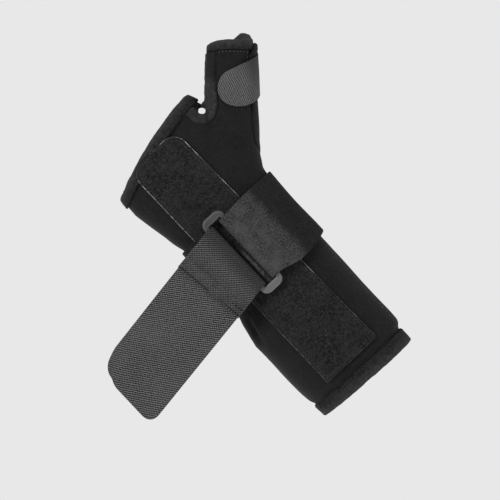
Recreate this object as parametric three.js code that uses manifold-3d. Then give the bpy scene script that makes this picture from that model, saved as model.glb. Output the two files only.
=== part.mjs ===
// A padded wrist and thumb splint in the right-sided form, its palm side towards the viewer.
// Millimetres. The origin is the middle of the forearm opening, +Z runs to the palm opening,
// +X points to the thumb tube's side and the palm side faces -Y.

import * as THREE from 'three';
import { mergeVertices } from 'three/addons/utils/BufferGeometryUtils.js';
import Module from 'manifold-3d';

const wasm = await Module();
wasm.setup();

const { lerp, smoothstep, degToRad } = THREE.MathUtils;

// Cloth thicknesses, and the clearance that neighbouring pieces keep
const GAP = 0.35;
const WALL = 3;
const TAPE = 1.4;
const PANEL = 1.6;
const BAND = 2;
const END_TAPE = 1.5;
const THUMB_STRAP = 1.3;
const POCKET = 2.6;

// Arm tube, from the forearm opening to the palm edge
const SLEEVE_LENGTH = 207;
const FOREARM_BREADTH = 80;
const FOREARM_DEPTH = 62;
const ARM_SQUARENESS = 2.3;
const PALM_EDGE_SLOPE = 0.259;
const PALM_EDGE_BOW = 3;
const CUFF_SLOPE = -0.035;
const LEAN_START = 0.72;
const CUFF_LEAN_END = 0.12;

// Thumb tube: where its axis passes the web, its lean, and its length on both sides of the web
const WEB_REACH = 57.9;
const WEB_DROP = 12.8;
const WEB_HEIGHT = SLEEVE_LENGTH - WEB_DROP;
const THUMB_LEAN = degToRad(43.3);
const THUMB_LENGTH = 40;
const THUMB_ROOT = 52;
const THUMB_BREADTH = 29.2;
const THUMB_DEPTH = 30;
const THUMB_FORWARD = 5;
const THUMB_SQUARENESS = 2.1;
const WEB_HOLE = 5.6;

// Bound edges
const CUFF_BINDING = 10;
const PALM_BINDING = 8;
const THUMB_BINDING = 6.5;
const WEB_BINDING = 5.6;

// Loop panel on the palm side
const PANEL_WIDTH = 43.5;
const PANEL_START = 17.5;
const PANEL_SETBACK = 2.5;
const PANEL_END = SLEEVE_LENGTH - PANEL_SETBACK;
const PANEL_TAPER = 3.5;
const PANEL_PALM_CORNER = 10;
const PANEL_CUFF_CORNER = 2;

// Ring buckle
const RING_LENGTH = 63.6;
const RING_WIDTH = 16.8;
const RING_SIDE_BAR = 3.4;
const RING_END_BAR = 5.3;
const RING_CORNER = 5;
const RING_CHAMFER = 0.8;
const RING_OFFSET = -3.9;

// Wrist band, its return over the ring and the hook tape sewn to its end
const BAND_HEIGHT = 116.8;
const BAND_WIDTH = 53;
const BAND_FAN = 3;
const BAND_FLARE = 2.2;
const BAND_AT_RING = 51;
const FOLD_END = 23;
const SEAM_REACH = -38;
const SEAM_LAP = 11;
const PULL_SLOPE = 0.14;
const END_TAPE_LENGTH = 97;
const END_TAPE_WIDTH = 50;
const END_TAPE_CORNER = 8;
const END_TAPE_DROP = 6;

// Thumb strap and stay pocket
const THUMB_STRAP_WIDTH = 25;
const POCKET_WIDTH = 16;

// Faceting
const ARM_SIDES = 36;
const THUMB_SIDES = 24;

// Arm sections: along is a share of SLEEVE_LENGTH, ulnar and radial of half the breadth,
// palmar and dorsal of half the depth
const ARM_SECTIONS = [
  { along: 0.000, ulnar: 0.925, radial: 0.895, palmar: 0.920, dorsal: 0.920 },
  { along: 0.051, ulnar: 0.930, radial: 0.900, palmar: 0.925, dorsal: 0.925 },
  { along: 0.070, ulnar: 0.975, radial: 0.995, palmar: 0.995, dorsal: 0.995 },
  { along: 0.190, ulnar: 0.995, radial: 1.000, palmar: 0.985, dorsal: 0.985 },
  { along: 0.315, ulnar: 1.005, radial: 1.010, palmar: 0.955, dorsal: 0.955 },
  { along: 0.345, ulnar: 0.965, radial: 1.012, palmar: 0.930, dorsal: 0.935 },
  { along: 0.375, ulnar: 0.920, radial: 1.010, palmar: 0.900, dorsal: 0.920 },
  { along: 0.415, ulnar: 0.870, radial: 1.020, palmar: 0.875, dorsal: 0.900 },
  { along: 0.480, ulnar: 0.840, radial: 1.035, palmar: 0.855, dorsal: 0.875 },
  { along: 0.620, ulnar: 0.800, radial: 1.065, palmar: 0.830, dorsal: 0.850 },
  { along: 0.690, ulnar: 0.785, radial: 1.085, palmar: 0.815, dorsal: 0.830 },
  { along: 0.765, ulnar: 0.845, radial: 1.140, palmar: 0.790, dorsal: 0.810 },
  { along: 0.840, ulnar: 0.915, radial: 1.145, palmar: 0.760, dorsal: 0.780 },
  { along: 0.920, ulnar: 0.965, radial: 1.135, palmar: 0.730, dorsal: 0.745 },
  { along: 0.960, ulnar: 0.960, radial: 1.060, palmar: 0.700, dorsal: 0.720 },
  { along: 1.000, ulnar: 0.935, radial: 0.980, palmar: 0.680, dorsal: 0.700 },
];

// Thumb sections: along is a share of root and length together, the others of half the breadth
// or depth, and forward of THUMB_FORWARD
const THUMB_SECTIONS = [
  { along: 0.00, ulnar: 1.75, radial: 1.50, palmar: 1.30, dorsal: 1.25, forward: 0.1 },
  { along: 0.13, ulnar: 1.60, radial: 1.46, palmar: 1.28, dorsal: 1.22, forward: 0.2 },
  { along: 0.28, ulnar: 1.38, radial: 1.24, palmar: 1.20, dorsal: 1.15, forward: 0.4 },
  { along: 0.43, ulnar: 1.14, radial: 1.11, palmar: 1.10, dorsal: 1.06, forward: 0.6 },
  { along: 0.57, ulnar: 1.00, radial: 1.05, palmar: 1.03, dorsal: 1.02, forward: 0.8 },
  { along: 0.78, ulnar: 0.98, radial: 1.00, palmar: 0.98, dorsal: 0.98, forward: 1.0 },
  { along: 1.00, ulnar: 0.93, radial: 0.91, palmar: 0.92, dorsal: 0.94, forward: 1.0 },
];

// Rise and dip of the thumb edge: turn in degrees round the tube, spread in degrees,
// rise as a share of THUMB_BINDING
const THUMB_EDGE_WAVES = [
  { turn: 42, spread: 31, rise: 0.85 },
  { turn: 180, spread: 45, rise: -0.45 },
];

// Middle line of the thumb strap: turn in degrees round the tube, along as a share of THUMB_LENGTH
const THUMB_STRAP_LINE = [
  { turn: -114, along: 0.07 },
  { turn: -71, along: 0.215 },
  { turn: -30, along: 0.355 },
  { turn: 0, along: 0.440 },
  { turn: 40, along: 0.495 },
  { turn: 95, along: 0.520 },
  { turn: 150, along: 0.525 },
];

// Solids from rings and grids of points

function fromFaces(points, faces) {
  const geometry = new THREE.BufferGeometry();
  geometry.setAttribute('position', new THREE.Float32BufferAttribute(points.flatMap((p) => p.toArray()), 3));
  geometry.setIndex(faces.flat());
  return toSolid(geometry);
}

function toSolid(source) {
  const bare = source.clone();
  bare.deleteAttribute('normal');
  bare.deleteAttribute('uv');
  const merged = mergeVertices(bare, 1e-4);
  const make = (triVerts) => new wasm.Manifold(new wasm.Mesh({
    numProp: 3,
    vertProperties: new Float32Array(merged.attributes.position.array),
    triVerts,
  }));
  const indices = new Uint32Array(merged.index.array);
  const solid = make(indices);
  if (solid.volume() > 0) return solid;
  return make(indices.slice().reverse());
}

function toMesh(name, solid, material) {
  const mesh = solid.getMesh();
  const geometry = new THREE.BufferGeometry();
  geometry.setAttribute('position', new THREE.Float32BufferAttribute(mesh.vertProperties, 3));
  geometry.setIndex(new THREE.Uint32BufferAttribute(mesh.triVerts, 1));
  geometry.computeVertexNormals();
  const result = new THREE.Mesh(geometry, material);
  result.name = name;
  return result;
}

function quad(a, b, c, d) {
  return [a, b, c, a, c, d];
}

// A closed tube of rings, each ring the same number of points, with flat fans at both ends
function loft(rings) {
  const sides = rings[0].length;
  const points = rings.flat();
  const faces = [];
  for (let row = 0; row < rings.length - 1; row += 1) {
    for (let side = 0; side < sides; side += 1) {
      const next = (side + 1) % sides;
      const low = row * sides;
      faces.push(quad(low + side, low + next, low + sides + next, low + sides + side));
    }
  }
  for (const [row, turned] of [[0, true], [rings.length - 1, false]]) {
    const middle = rings[row].reduce((sum, p) => sum.add(p), new THREE.Vector3()).divideScalar(sides);
    const hub = points.push(middle) - 1;
    for (let side = 0; side < sides; side += 1) {
      const a = row * sides + side;
      const b = row * sides + (side + 1) % sides;
      faces.push(turned ? [hub, b, a] : [hub, a, b]);
    }
  }
  return fromFaces(points, faces);
}

// A closed profile carried round a closed loop: sections[turn][corner]
function hoop(sections) {
  const corners = sections[0].length;
  const faces = [];
  sections.forEach((section, turn) => {
    const here = turn * corners;
    const there = ((turn + 1) % sections.length) * corners;
    for (let corner = 0; corner < corners; corner += 1) {
      const next = (corner + 1) % corners;
      faces.push(quad(here + corner, here + next, there + next, there + corner));
    }
  });
  return fromFaces(sections.flat(), faces);
}

// A sheet of cloth between two grids of points: under[row][column] and over[row][column]
function sheet(under, over) {
  const rows = under.length;
  const columns = under[0].length;
  const points = [...under.flat(), ...over.flat()];
  const low = (row, column) => row * columns + column;
  const high = (row, column) => rows * columns + low(row, column);
  const faces = [];
  for (let row = 0; row < rows - 1; row += 1) {
    for (let column = 0; column < columns - 1; column += 1) {
      faces.push(quad(low(row, column), low(row + 1, column), low(row + 1, column + 1), low(row, column + 1)));
      faces.push(quad(high(row, column), high(row, column + 1), high(row + 1, column + 1), high(row + 1, column)));
    }
  }
  for (let row = 0; row < rows - 1; row += 1) {
    const last = columns - 1;
    faces.push(quad(low(row, 0), high(row, 0), high(row + 1, 0), low(row + 1, 0)));
    faces.push(quad(low(row, last), low(row + 1, last), high(row + 1, last), high(row, last)));
  }
  for (let column = 0; column < columns - 1; column += 1) {
    const last = rows - 1;
    faces.push(quad(low(0, column), low(0, column + 1), high(0, column + 1), high(0, column)));
    faces.push(quad(low(last, column), high(last, column), high(last, column + 1), low(last, column + 1)));
  }
  return fromFaces(points, faces);
}

function spread(from, to, count) {
  return Array.from({ length: count + 1 }, (_, step) => lerp(from, to, step / count));
}

function around(sides) {
  return Array.from({ length: sides }, (_, side) => side * 2 * Math.PI / sides);
}

function sectionAt(sections, share) {
  const last = sections.length - 1;
  let upper = sections.findIndex((section) => section.along >= share);
  if (upper < 0) upper = last;
  if (upper < 1) upper = 1;
  const before = sections[upper - 1];
  const after = sections[upper];
  const part = THREE.MathUtils.clamp((share - before.along) / (after.along - before.along), 0, 1);
  return Object.fromEntries(Object.keys(before).map((key) => [key, lerp(before[key], after[key], part)]));
}

function rounded(value, squareness) {
  return Math.sign(value) * Math.abs(value) ** (2 / squareness);
}

// Turn 0 is the thumb side, a quarter turn the back, three quarters the palm side
function armRadii(turn, along, lift) {
  const section = sectionAt(ARM_SECTIONS, along / SLEEVE_LENGTH);
  return {
    across: (Math.cos(turn) < 0 ? section.ulnar : section.radial) * FOREARM_BREADTH / 2 + lift,
    deep: (Math.sin(turn) < 0 ? section.palmar : section.dorsal) * FOREARM_DEPTH / 2 + lift,
  };
}

// A point of the arm tube's outside, lifted off it by the given distance
function armPoint(turn, along, lift) {
  const { across, deep } = armRadii(turn, along, lift);
  const x = across * rounded(Math.cos(turn), ARM_SQUARENESS);
  const y = deep * rounded(Math.sin(turn), ARM_SQUARENESS);
  const lean = smoothstep(along, LEAN_START * SLEEVE_LENGTH, SLEEVE_LENGTH);
  const bow = PALM_EDGE_BOW * (1 - (2 * x / FOREARM_BREADTH) ** 2);
  const cuffLean = 1 - smoothstep(along, 0, CUFF_LEAN_END * SLEEVE_LENGTH);
  return new THREE.Vector3(x, y, along + lean * (PALM_EDGE_SLOPE * x + bow) + cuffLean * CUFF_SLOPE * x);
}

// The turn at which the palm side of the arm tube reaches a given x
function palmTurn(x, along, lift) {
  const middle = 1.5 * Math.PI;
  const side = Math.sign(x) || 1;
  const { across } = armRadii(middle + side * 0.1, along, lift);
  return middle + side * Math.asin((Math.abs(x) / across) ** (ARM_SQUARENESS / 2));
}

const thumbAxis = new THREE.Vector3(Math.sin(THUMB_LEAN), 0, Math.cos(THUMB_LEAN));
const thumbOutward = new THREE.Vector3(Math.cos(THUMB_LEAN), 0, -Math.sin(THUMB_LEAN));
const webPoint = new THREE.Vector3(WEB_REACH, 0, WEB_HEIGHT);

function thumbPlace(outward, y, along) {
  return webPoint.clone().addScaledVector(thumbOutward, outward).addScaledVector(thumbAxis, along).setY(y);
}

function thumbEdgeRise(turn) {
  return THUMB_EDGE_WAVES.reduce((rise, wave) => {
    const away = Math.atan2(Math.sin(turn - degToRad(wave.turn)), Math.cos(turn - degToRad(wave.turn)));
    return rise + wave.rise * THUMB_BINDING * Math.exp(-((away / degToRad(wave.spread)) ** 2));
  }, 0);
}

// A point of the thumb tube's outside; along is measured from the web to the tip
function thumbPoint(turn, along, lift) {
  const section = sectionAt(THUMB_SECTIONS, (along + THUMB_ROOT) / (THUMB_ROOT + THUMB_LENGTH));
  const across = (Math.cos(turn) < 0 ? section.ulnar : section.radial) * THUMB_BREADTH / 2 + lift;
  const deep = (Math.sin(turn) < 0 ? section.palmar : section.dorsal) * THUMB_DEPTH / 2 + lift;
  const y = deep * rounded(Math.sin(turn), THUMB_SQUARENESS) - section.forward * THUMB_FORWARD;
  const rise = thumbEdgeRise(turn) * smoothstep(along, THUMB_LENGTH / 2, THUMB_LENGTH);
  return thumbPlace(across * rounded(Math.cos(turn), THUMB_SQUARENESS), y, along + rise);
}

function stations(sections, scale, start, from, to) {
  const between = sections.map((section) => section.along * scale + start).filter((at) => at > from && at < to);
  return [from, ...between, to];
}

// A solid tube whose end faces are level across the thickness of the wall
function tube(point, sides, rows, lift) {
  const ring = (along, raised) => around(sides).map((turn) => point(turn, along, raised));
  const inset = lift - 1.5 * WALL;
  return loft([ring(rows[0], inset), ...rows.map((along) => ring(along, lift)), ring(rows.at(-1), inset)]);
}

function armTube(lift, from, to) {
  return tube(armPoint, ARM_SIDES, stations(ARM_SECTIONS, SLEEVE_LENGTH, 0, from, to), lift);
}

function thumbTube(lift, from, to) {
  const rows = stations(THUMB_SECTIONS, THUMB_ROOT + THUMB_LENGTH, -THUMB_ROOT, from, to);
  return tube(thumbPoint, THUMB_SIDES, rows, lift);
}

// A flat outline in X and Z, carried through the part in Y
function prism(shape, front, back) {
  const geometry = new THREE.ExtrudeGeometry(shape, { depth: back - front, bevelEnabled: false, curveSegments: 6 });
  geometry.rotateX(Math.PI / 2);
  geometry.translate(0, back, 0);
  return toSolid(geometry);
}

// An upright outline with round corners, whose right side leans in by the taper
function roundedBox(width, low, high, lowCorner, highCorner, middle = 0, taper = 0) {
  const left = middle - width / 2;
  const right = middle + width / 2;
  const shape = new THREE.Shape();
  shape.absarc(right - taper - highCorner, high - highCorner, highCorner, 0, Math.PI / 2);
  shape.absarc(left + highCorner, high - highCorner, highCorner, Math.PI / 2, Math.PI);
  shape.absarc(left + lowCorner, low + lowCorner, lowCorner, Math.PI, 1.5 * Math.PI);
  shape.absarc(right - lowCorner, low + lowCorner, lowCorner, 1.5 * Math.PI, 2 * Math.PI);
  return shape;
}

// Sleeve: the arm tube and the thumb tube as one padded wall, open at three ends, with the small
// hole between thumb and palm
const EDGE_INSET = TAPE + GAP;
const webHole = thumbPlace(-0.63 * THUMB_BREADTH, 0, -0.15 * THUMB_LENGTH);

function sleeve() {
  const armTop = SLEEVE_LENGTH - EDGE_INSET;
  const thumbTop = THUMB_LENGTH - EDGE_INSET;
  const outside = armTube(0, EDGE_INSET, armTop).add(thumbTube(0, -THUMB_ROOT, thumbTop));
  const inside = armTube(-WALL, EDGE_INSET - WALL, armTop + WALL)
    .add(thumbTube(-WALL, WALL - THUMB_ROOT, thumbTop + WALL));
  const hole = new THREE.Shape();
  hole.absarc(webHole.x, webHole.z, WEB_HOLE / 2, 0, 2 * Math.PI);
  return outside.subtract(inside).subtract(prism(hole, -FOREARM_DEPTH, FOREARM_DEPTH));
}

// A tape folded over a cut edge: a U section carried round the edge. point(turn, inset, lift)
// gives the wall at a distance from the rim.
function edgeBinding(sides, height, point) {
  const outer = GAP + TAPE;
  const inner = -WALL - GAP - TAPE;
  const profile = [
    [height, GAP], [height, outer], [TAPE / 2, outer], [TAPE / 8, outer - TAPE / 2],
    [0, -WALL / 2],
    [TAPE / 8, inner + TAPE / 2], [TAPE / 2, inner], [height, inner], [height, -WALL - GAP],
    [TAPE, -WALL - GAP], [TAPE, GAP],
  ];
  return hoop(around(sides).map((turn) => profile.map(([inset, lift]) => point(turn, inset, lift))));
}

const panelShape = (clear) => roundedBox(PANEL_WIDTH + 2 * clear, PANEL_START - clear, PANEL_END + clear,
  PANEL_CUFF_CORNER + clear, PANEL_PALM_CORNER + clear, 0, PANEL_TAPER);

function palmPanel() {
  const shell = armTube(GAP + PANEL, 0, SLEEVE_LENGTH).subtract(armTube(GAP, -WALL, SLEEVE_LENGTH + WALL));
  return shell.intersect(prism(panelShape(0), -FOREARM_DEPTH, 0));
}

function cuffBinding() {
  return edgeBinding(ARM_SIDES, CUFF_BINDING, (turn, inset, lift) => armPoint(turn, inset, lift));
}

// The palm panel's upper corners lie on the palm binding, which leaves room under them
function palmBinding() {
  const tape = edgeBinding(ARM_SIDES, PALM_BINDING,
    (turn, inset, lift) => armPoint(turn, SLEEVE_LENGTH - inset, lift));
  const room = prism(panelShape(GAP), -FOREARM_DEPTH, 0).subtract(armTube(0, 0, SLEEVE_LENGTH));
  return tape.subtract(room);
}

function thumbBinding() {
  return edgeBinding(THUMB_SIDES, THUMB_BINDING,
    (turn, inset, lift) => thumbPoint(turn, THUMB_LENGTH - inset, lift));
}

// Tape down the thumb tube's inner side, round under the web hole and up to the palm edge
function webBinding() {
  const turns = spread(degToRad(178), degToRad(230), 5);
  const rows = stations(THUMB_SECTIONS, THUMB_ROOT + THUMB_LENGTH, -THUMB_ROOT, WEB_BINDING / 4,
    THUMB_LENGTH - THUMB_BINDING - 2 * GAP);
  const grid = (lift) => rows.map((along) => turns.map((turn) => thumbPoint(turn, along, lift)));
  const down = sheet(grid(GAP), grid(GAP + TAPE));

  const skin = (lift, more) => armTube(lift, -more, SLEEVE_LENGTH - PALM_BINDING - GAP + more)
    .add(thumbTube(lift, -THUMB_ROOT, THUMB_LENGTH / 2 + more));
  const shell = skin(GAP + TAPE, 0).subtract(skin(GAP, WALL));
  const hem = new THREE.Shape();
  const inner = WEB_HOLE / 2 + GAP;
  hem.absarc(webHole.x, webHole.z, inner + WEB_BINDING, degToRad(150), degToRad(400));
  hem.absarc(webHole.x, webHole.z, inner, degToRad(400), degToRad(150), true);
  const leg = roundedBox(WEB_BINDING, webHole.z, SLEEVE_LENGTH + PALM_BINDING, GAP, GAP,
    webHole.x - inner - WEB_BINDING / 2);
  const fingerSide = -THUMB_BREADTH / 2;
  const turnUp = new THREE.Shape([
    [fingerSide - GAP, -WEB_BINDING], [fingerSide + WEB_BINDING, -WEB_BINDING],
    [fingerSide + WEB_BINDING, WEB_BINDING], [fingerSide - GAP, WEB_BINDING],
  ].map(([outward, along]) => thumbPlace(outward, 0, along)).map(({ x, z }) => new THREE.Vector2(x, z)));
  const outline = [hem, leg, turnUp].map((shape) => prism(shape, -FOREARM_DEPTH, 0)).reduce((a, b) => a.add(b));
  return shell.intersect(outline).add(down);
}

// Ring buckle, lying on the layers that pass under its two long bars
const WRAP = RING_SIDE_BAR / 2 + GAP + BAND / 2;
const BAR_SPACING = (RING_WIDTH - RING_SIDE_BAR) / 2;
const bandLow = BAND_HEIGHT - BAND_AT_RING / 2;
const OVER_PANEL = GAP + PANEL + GAP;
const underLayer = armPoint(palmTurn(RING_OFFSET, bandLow, OVER_PANEL + BAND / 2), bandLow, OVER_PANEL + BAND / 2).y;
const ringDepth = underLayer - WRAP;

function ringBuckle() {
  const shape = roundedBox(RING_WIDTH, -RING_LENGTH / 2, RING_LENGTH / 2, RING_CORNER, RING_CORNER);
  const windowCorner = 1;
  shape.holes.push(roundedBox(RING_WIDTH - 2 * RING_SIDE_BAR, RING_END_BAR - RING_LENGTH / 2,
    RING_LENGTH / 2 - RING_END_BAR, windowCorner, windowCorner));
  const geometry = new THREE.ExtrudeGeometry(shape, {
    depth: RING_SIDE_BAR - 2 * RING_CHAMFER,
    bevelEnabled: true,
    bevelSize: RING_CHAMFER,
    bevelOffset: -RING_CHAMFER,
    bevelThickness: RING_CHAMFER,
    bevelSegments: 1,
    curveSegments: 6,
  });
  geometry.translate(0, 0, RING_CHAMFER - RING_SIDE_BAR / 2);
  geometry.rotateX(Math.PI / 2);
  geometry.translate(RING_OFFSET, ringDepth, BAND_HEIGHT);
  return toSolid(geometry);
}

// The band's middle surface at one place across its width, from the folded-under end round the
// thumb-side bar, the back of the wrist and the other bar to the seam
const thumbBar = RING_OFFSET + BAR_SPACING;
const fingerBar = RING_OFFSET - BAR_SPACING;

function bandSpine(side) {
  const spine = [];
  const wide = (x) => {
    const away = Math.max(x - thumbBar, fingerBar - x, 0);
    const share = smoothstep(away, 0, FOLD_END - thumbBar);
    const fan = Math.min(side, 0) * BAND_FAN * smoothstep(x, thumbBar, FOLD_END);
    return BAND_HEIGHT + side * lerp(BAND_AT_RING, BAND_WIDTH, share) / 2 + fan;
  };
  const onPalm = (x, lift) => {
    const z = wide(x);
    return armPoint(palmTurn(x, z, lift), z, lift);
  };
  const flat = OVER_PANEL + BAND / 2;
  const ply = BAND + GAP;

  // folded-under end
  for (const x of spread(FOLD_END, thumbBar + BAND, 4)) {
    const point = onPalm(x, flat);
    const near = 1 - smoothstep(x, thumbBar, lerp(thumbBar, FOLD_END, 0.5));
    spine.push(point.setY(lerp(point.y, ringDepth + WRAP, near)));
  }
  // round the thumb-side bar
  for (const turn of spread(0, Math.PI, 8)) {
    spine.push(new THREE.Vector3(thumbBar - WRAP * Math.sin(turn), ringDepth + WRAP * Math.cos(turn), wide(thumbBar)));
  }
  // over the folded end
  for (const x of spread(thumbBar + BAND, FOLD_END + BAND, 5)) {
    const point = onPalm(x, flat + ply);
    const near = 1 - smoothstep(x, thumbBar, FOLD_END);
    spine.push(point.setY(lerp(point.y, ringDepth - WRAP, near)));
  }
  // down to the sleeve and round the wrist
  const edge = BAND_HEIGHT + side * BAND_WIDTH / 2;
  const start = palmTurn(FOLD_END + BAND, wide(FOLD_END), flat + ply);
  const leave = palmTurn(-PANEL_WIDTH / 2 - BAND, edge, flat);
  for (const turn of spread(start, leave + 2 * Math.PI, 30).slice(1)) {
    const z = lerp(wide(FOLD_END), edge, smoothstep(turn, start, 2 * Math.PI));
    const fallen = smoothstep(turn, start, start + degToRad(22));
    const risen = smoothstep(turn, leave + 2 * Math.PI - degToRad(22), leave + 2 * Math.PI);
    const high = Math.max((1 - fallen) * (flat + ply), risen * flat, GAP + BAND / 2);
    const flare = BAND_FLARE * smoothstep(-side, -0.2, 1) * fallen * Math.max(Math.cos(turn), 0);
    spine.push(armPoint(turn, z, high + flare));
  }
  // under the finger-side bar
  for (const x of spread(-PANEL_WIDTH / 2 - BAND, fingerBar - BAND, 4).slice(1)) {
    const point = onPalm(x, flat);
    const near = smoothstep(x, -PANEL_WIDTH / 2, fingerBar);
    spine.push(point.setY(lerp(point.y, ringDepth + WRAP, near)));
  }
  // round the finger-side bar
  for (const turn of spread(0, Math.PI, 8)) {
    spine.push(new THREE.Vector3(fingerBar + WRAP * Math.sin(turn), ringDepth + WRAP * Math.cos(turn), wide(fingerBar)));
  }
  // back to the seam
  for (const x of spread(fingerBar - BAND, SEAM_REACH, 5)) {
    const shift = PULL_SLOPE * (x - fingerBar);
    spine.push(new THREE.Vector3(x, ringDepth - WRAP, BAND_HEIGHT + shift + side * BAND_AT_RING / 2));
  }
  return spine;
}

// The two faces of a strip whose middle lines all run in flat plans
function stripFaces(spines, thickness) {
  const face = (sign) => spines.map((spine) => spine.map((point, step) => {
    const before = spine[Math.max(step - 1, 0)];
    const after = spine[Math.min(step + 1, spine.length - 1)];
    const ahead = new THREE.Vector3(after.x - before.x, after.y - before.y, 0).normalize();
    return point.clone().add(new THREE.Vector3(ahead.y, -ahead.x, 0).multiplyScalar(sign * thickness / 2));
  }));
  return sheet(face(-1), face(1));
}

function wristBand() {
  return stripFaces(spread(-1, 1, 4).map(bandSpine), BAND);
}

// Hook tape, sewn under the band's end, with rounded corners at its free end
function strapEndTape() {
  const start = SEAM_REACH + SEAM_LAP;
  const end = SEAM_REACH - END_TAPE_LENGTH + SEAM_LAP;
  const corner = [0.25, 0.6, 1].map((share) => end + share * END_TAPE_CORNER);
  const places = [...spread(start, end + 1.6 * END_TAPE_CORNER, 10), ...corner.reverse(), end];
  const spines = spread(-1, 1, 4).map((side) => places.map((x) => {
    const fromEnd = Math.min(x - end, END_TAPE_CORNER) / END_TAPE_CORNER;
    const inset = END_TAPE_CORNER * (1 - Math.sqrt(1 - (1 - fromEnd) ** 2));
    const out = smoothstep(-x, -SEAM_REACH, -end);
    const y = ringDepth - WRAP + (BAND + END_TAPE) / 2 + GAP + END_TAPE_DROP * out;
    const z = BAND_HEIGHT + PULL_SLOPE * (x - fingerBar) + side * (END_TAPE_WIDTH / 2 - inset);
    return new THREE.Vector3(x, y, z);
  }));
  return stripFaces(spines, END_TAPE);
}

// How far the stay pocket stands off the thumb tube to pass over the thumb binding
const pocketTurn = POCKET_WIDTH / THUMB_DEPTH;

function pocketStep(along) {
  const edge = THUMB_LENGTH - THUMB_BINDING;
  return EDGE_INSET * smoothstep(along, edge - 2 * EDGE_INSET, edge - GAP);
}

// Stay pocket down the thumb side of the thumb tube
function thumbStayPocket() {
  const low = -0.84 * THUMB_LENGTH;
  const high = 0.93 * THUMB_LENGTH;
  const edge = THUMB_LENGTH - THUMB_BINDING;
  const rows = stations(THUMB_SECTIONS, THUMB_ROOT + THUMB_LENGTH, -THUMB_ROOT, low, high);
  rows.push(low + EDGE_INSET, low + WALL + POCKET, edge - 2 * EDGE_INSET, edge - EDGE_INSET, edge - GAP,
    high - EDGE_INSET);
  rows.sort((a, b) => a - b);
  const grid = (plump) => rows.map((along) => {
    const end = Math.min(along - low, high - along) / (POCKET_WIDTH / 2);
    const width = pocketTurn * Math.sqrt(1 - (1 - Math.min(end + 0.06, 1)) ** 2);
    return spread(-1, 1, 6).map((side) => {
      const crown = plump * lerp(0.45, 1, Math.cos(side * Math.PI / 2));
      return thumbPoint(side * width, along, GAP + pocketStep(along) + crown);
    });
  });
  return sheet(grid(0), grid(POCKET));
}

// Thumb strap: a rounded tab on the palm side, round the thumb side to the back of the thumb
function thumbStrap() {
  const radius = THUMB_DEPTH / 2;
  const line = new THREE.CatmullRomCurve3(THUMB_STRAP_LINE.map((stop) => new THREE.Vector3(
    degToRad(stop.turn) * radius, stop.along * THUMB_LENGTH, 0)));
  const round = THUMB_STRAP_WIDTH / 2;
  const length = line.getLength();
  const starts = [0.02, 0.1, 0.3, 0.6, 1].map((share) => share * round / length);
  const shares = [...starts, ...spread(starts[4], 1, 14).slice(1)];
  const grid = (more) => shares.map((share) => {
    const middle = line.getPointAt(share);
    const ahead = line.getTangentAt(share);
    const fromTip = Math.min(share * length / round, 1);
    const width = round * Math.sqrt(1 - (1 - fromTip) ** 2);
    return spread(-1, 1, 4).map((side) => {
      const turn = (middle.x - ahead.y * side * width) / radius;
      const along = middle.y + ahead.x * side * width;
      const clear = 1 - smoothstep(Math.abs(turn), pocketTurn + 0.2, pocketTurn + 0.7);
      return thumbPoint(turn, along, GAP + more + clear * (POCKET + GAP + pocketStep(along)));
    });
  });
  return sheet(grid(0), grid(THUMB_STRAP));
}

// Finishes, as read from the photograph
function finish(colour, roughness) {
  return new THREE.MeshStandardMaterial({ color: colour, roughness, metalness: 0 });
}

const BRUSHED = 0x242426;
const BINDING = 0x303032;
const LOOP = 0x28282a;
const VELVET = 0x2c2c2d;
const HOOK_BACK = 0x515153;
const TAB = 0x555557;
const PLASTIC = 0x5e5e5e;

const group = new THREE.Group();
group.add(
  toMesh('sleeve', sleeve(), finish(BRUSHED, 0.95)),
  toMesh('cuff_binding', cuffBinding(), finish(BINDING, 0.85)),
  toMesh('palm_edge_binding', palmBinding(), finish(BINDING, 0.85)),
  toMesh('thumb_end_binding', thumbBinding(), finish(BINDING, 0.85)),
  toMesh('thumb_web_binding', webBinding(), finish(BINDING, 0.85)),
  toMesh('palm_panel', palmPanel(), finish(LOOP, 0.95)),
  toMesh('thumb_stay_pocket', thumbStayPocket(), finish(BRUSHED, 0.9)),
  toMesh('wrist_band', wristBand(), finish(VELVET, 0.95)),
  toMesh('ring_buckle', ringBuckle(), finish(PLASTIC, 0.4)),
  toMesh('strap_end_tape', strapEndTape(), finish(HOOK_BACK, 0.8)),
  toMesh('thumb_strap', thumbStrap(), finish(TAB, 0.8)),
);

export default group;
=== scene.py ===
import math

import bmesh
import bpy
import numpy as np
from mathutils import Matrix, Vector
from mathutils.bvhtree import BVHTree
from mathutils.kdtree import KDTree


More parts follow.
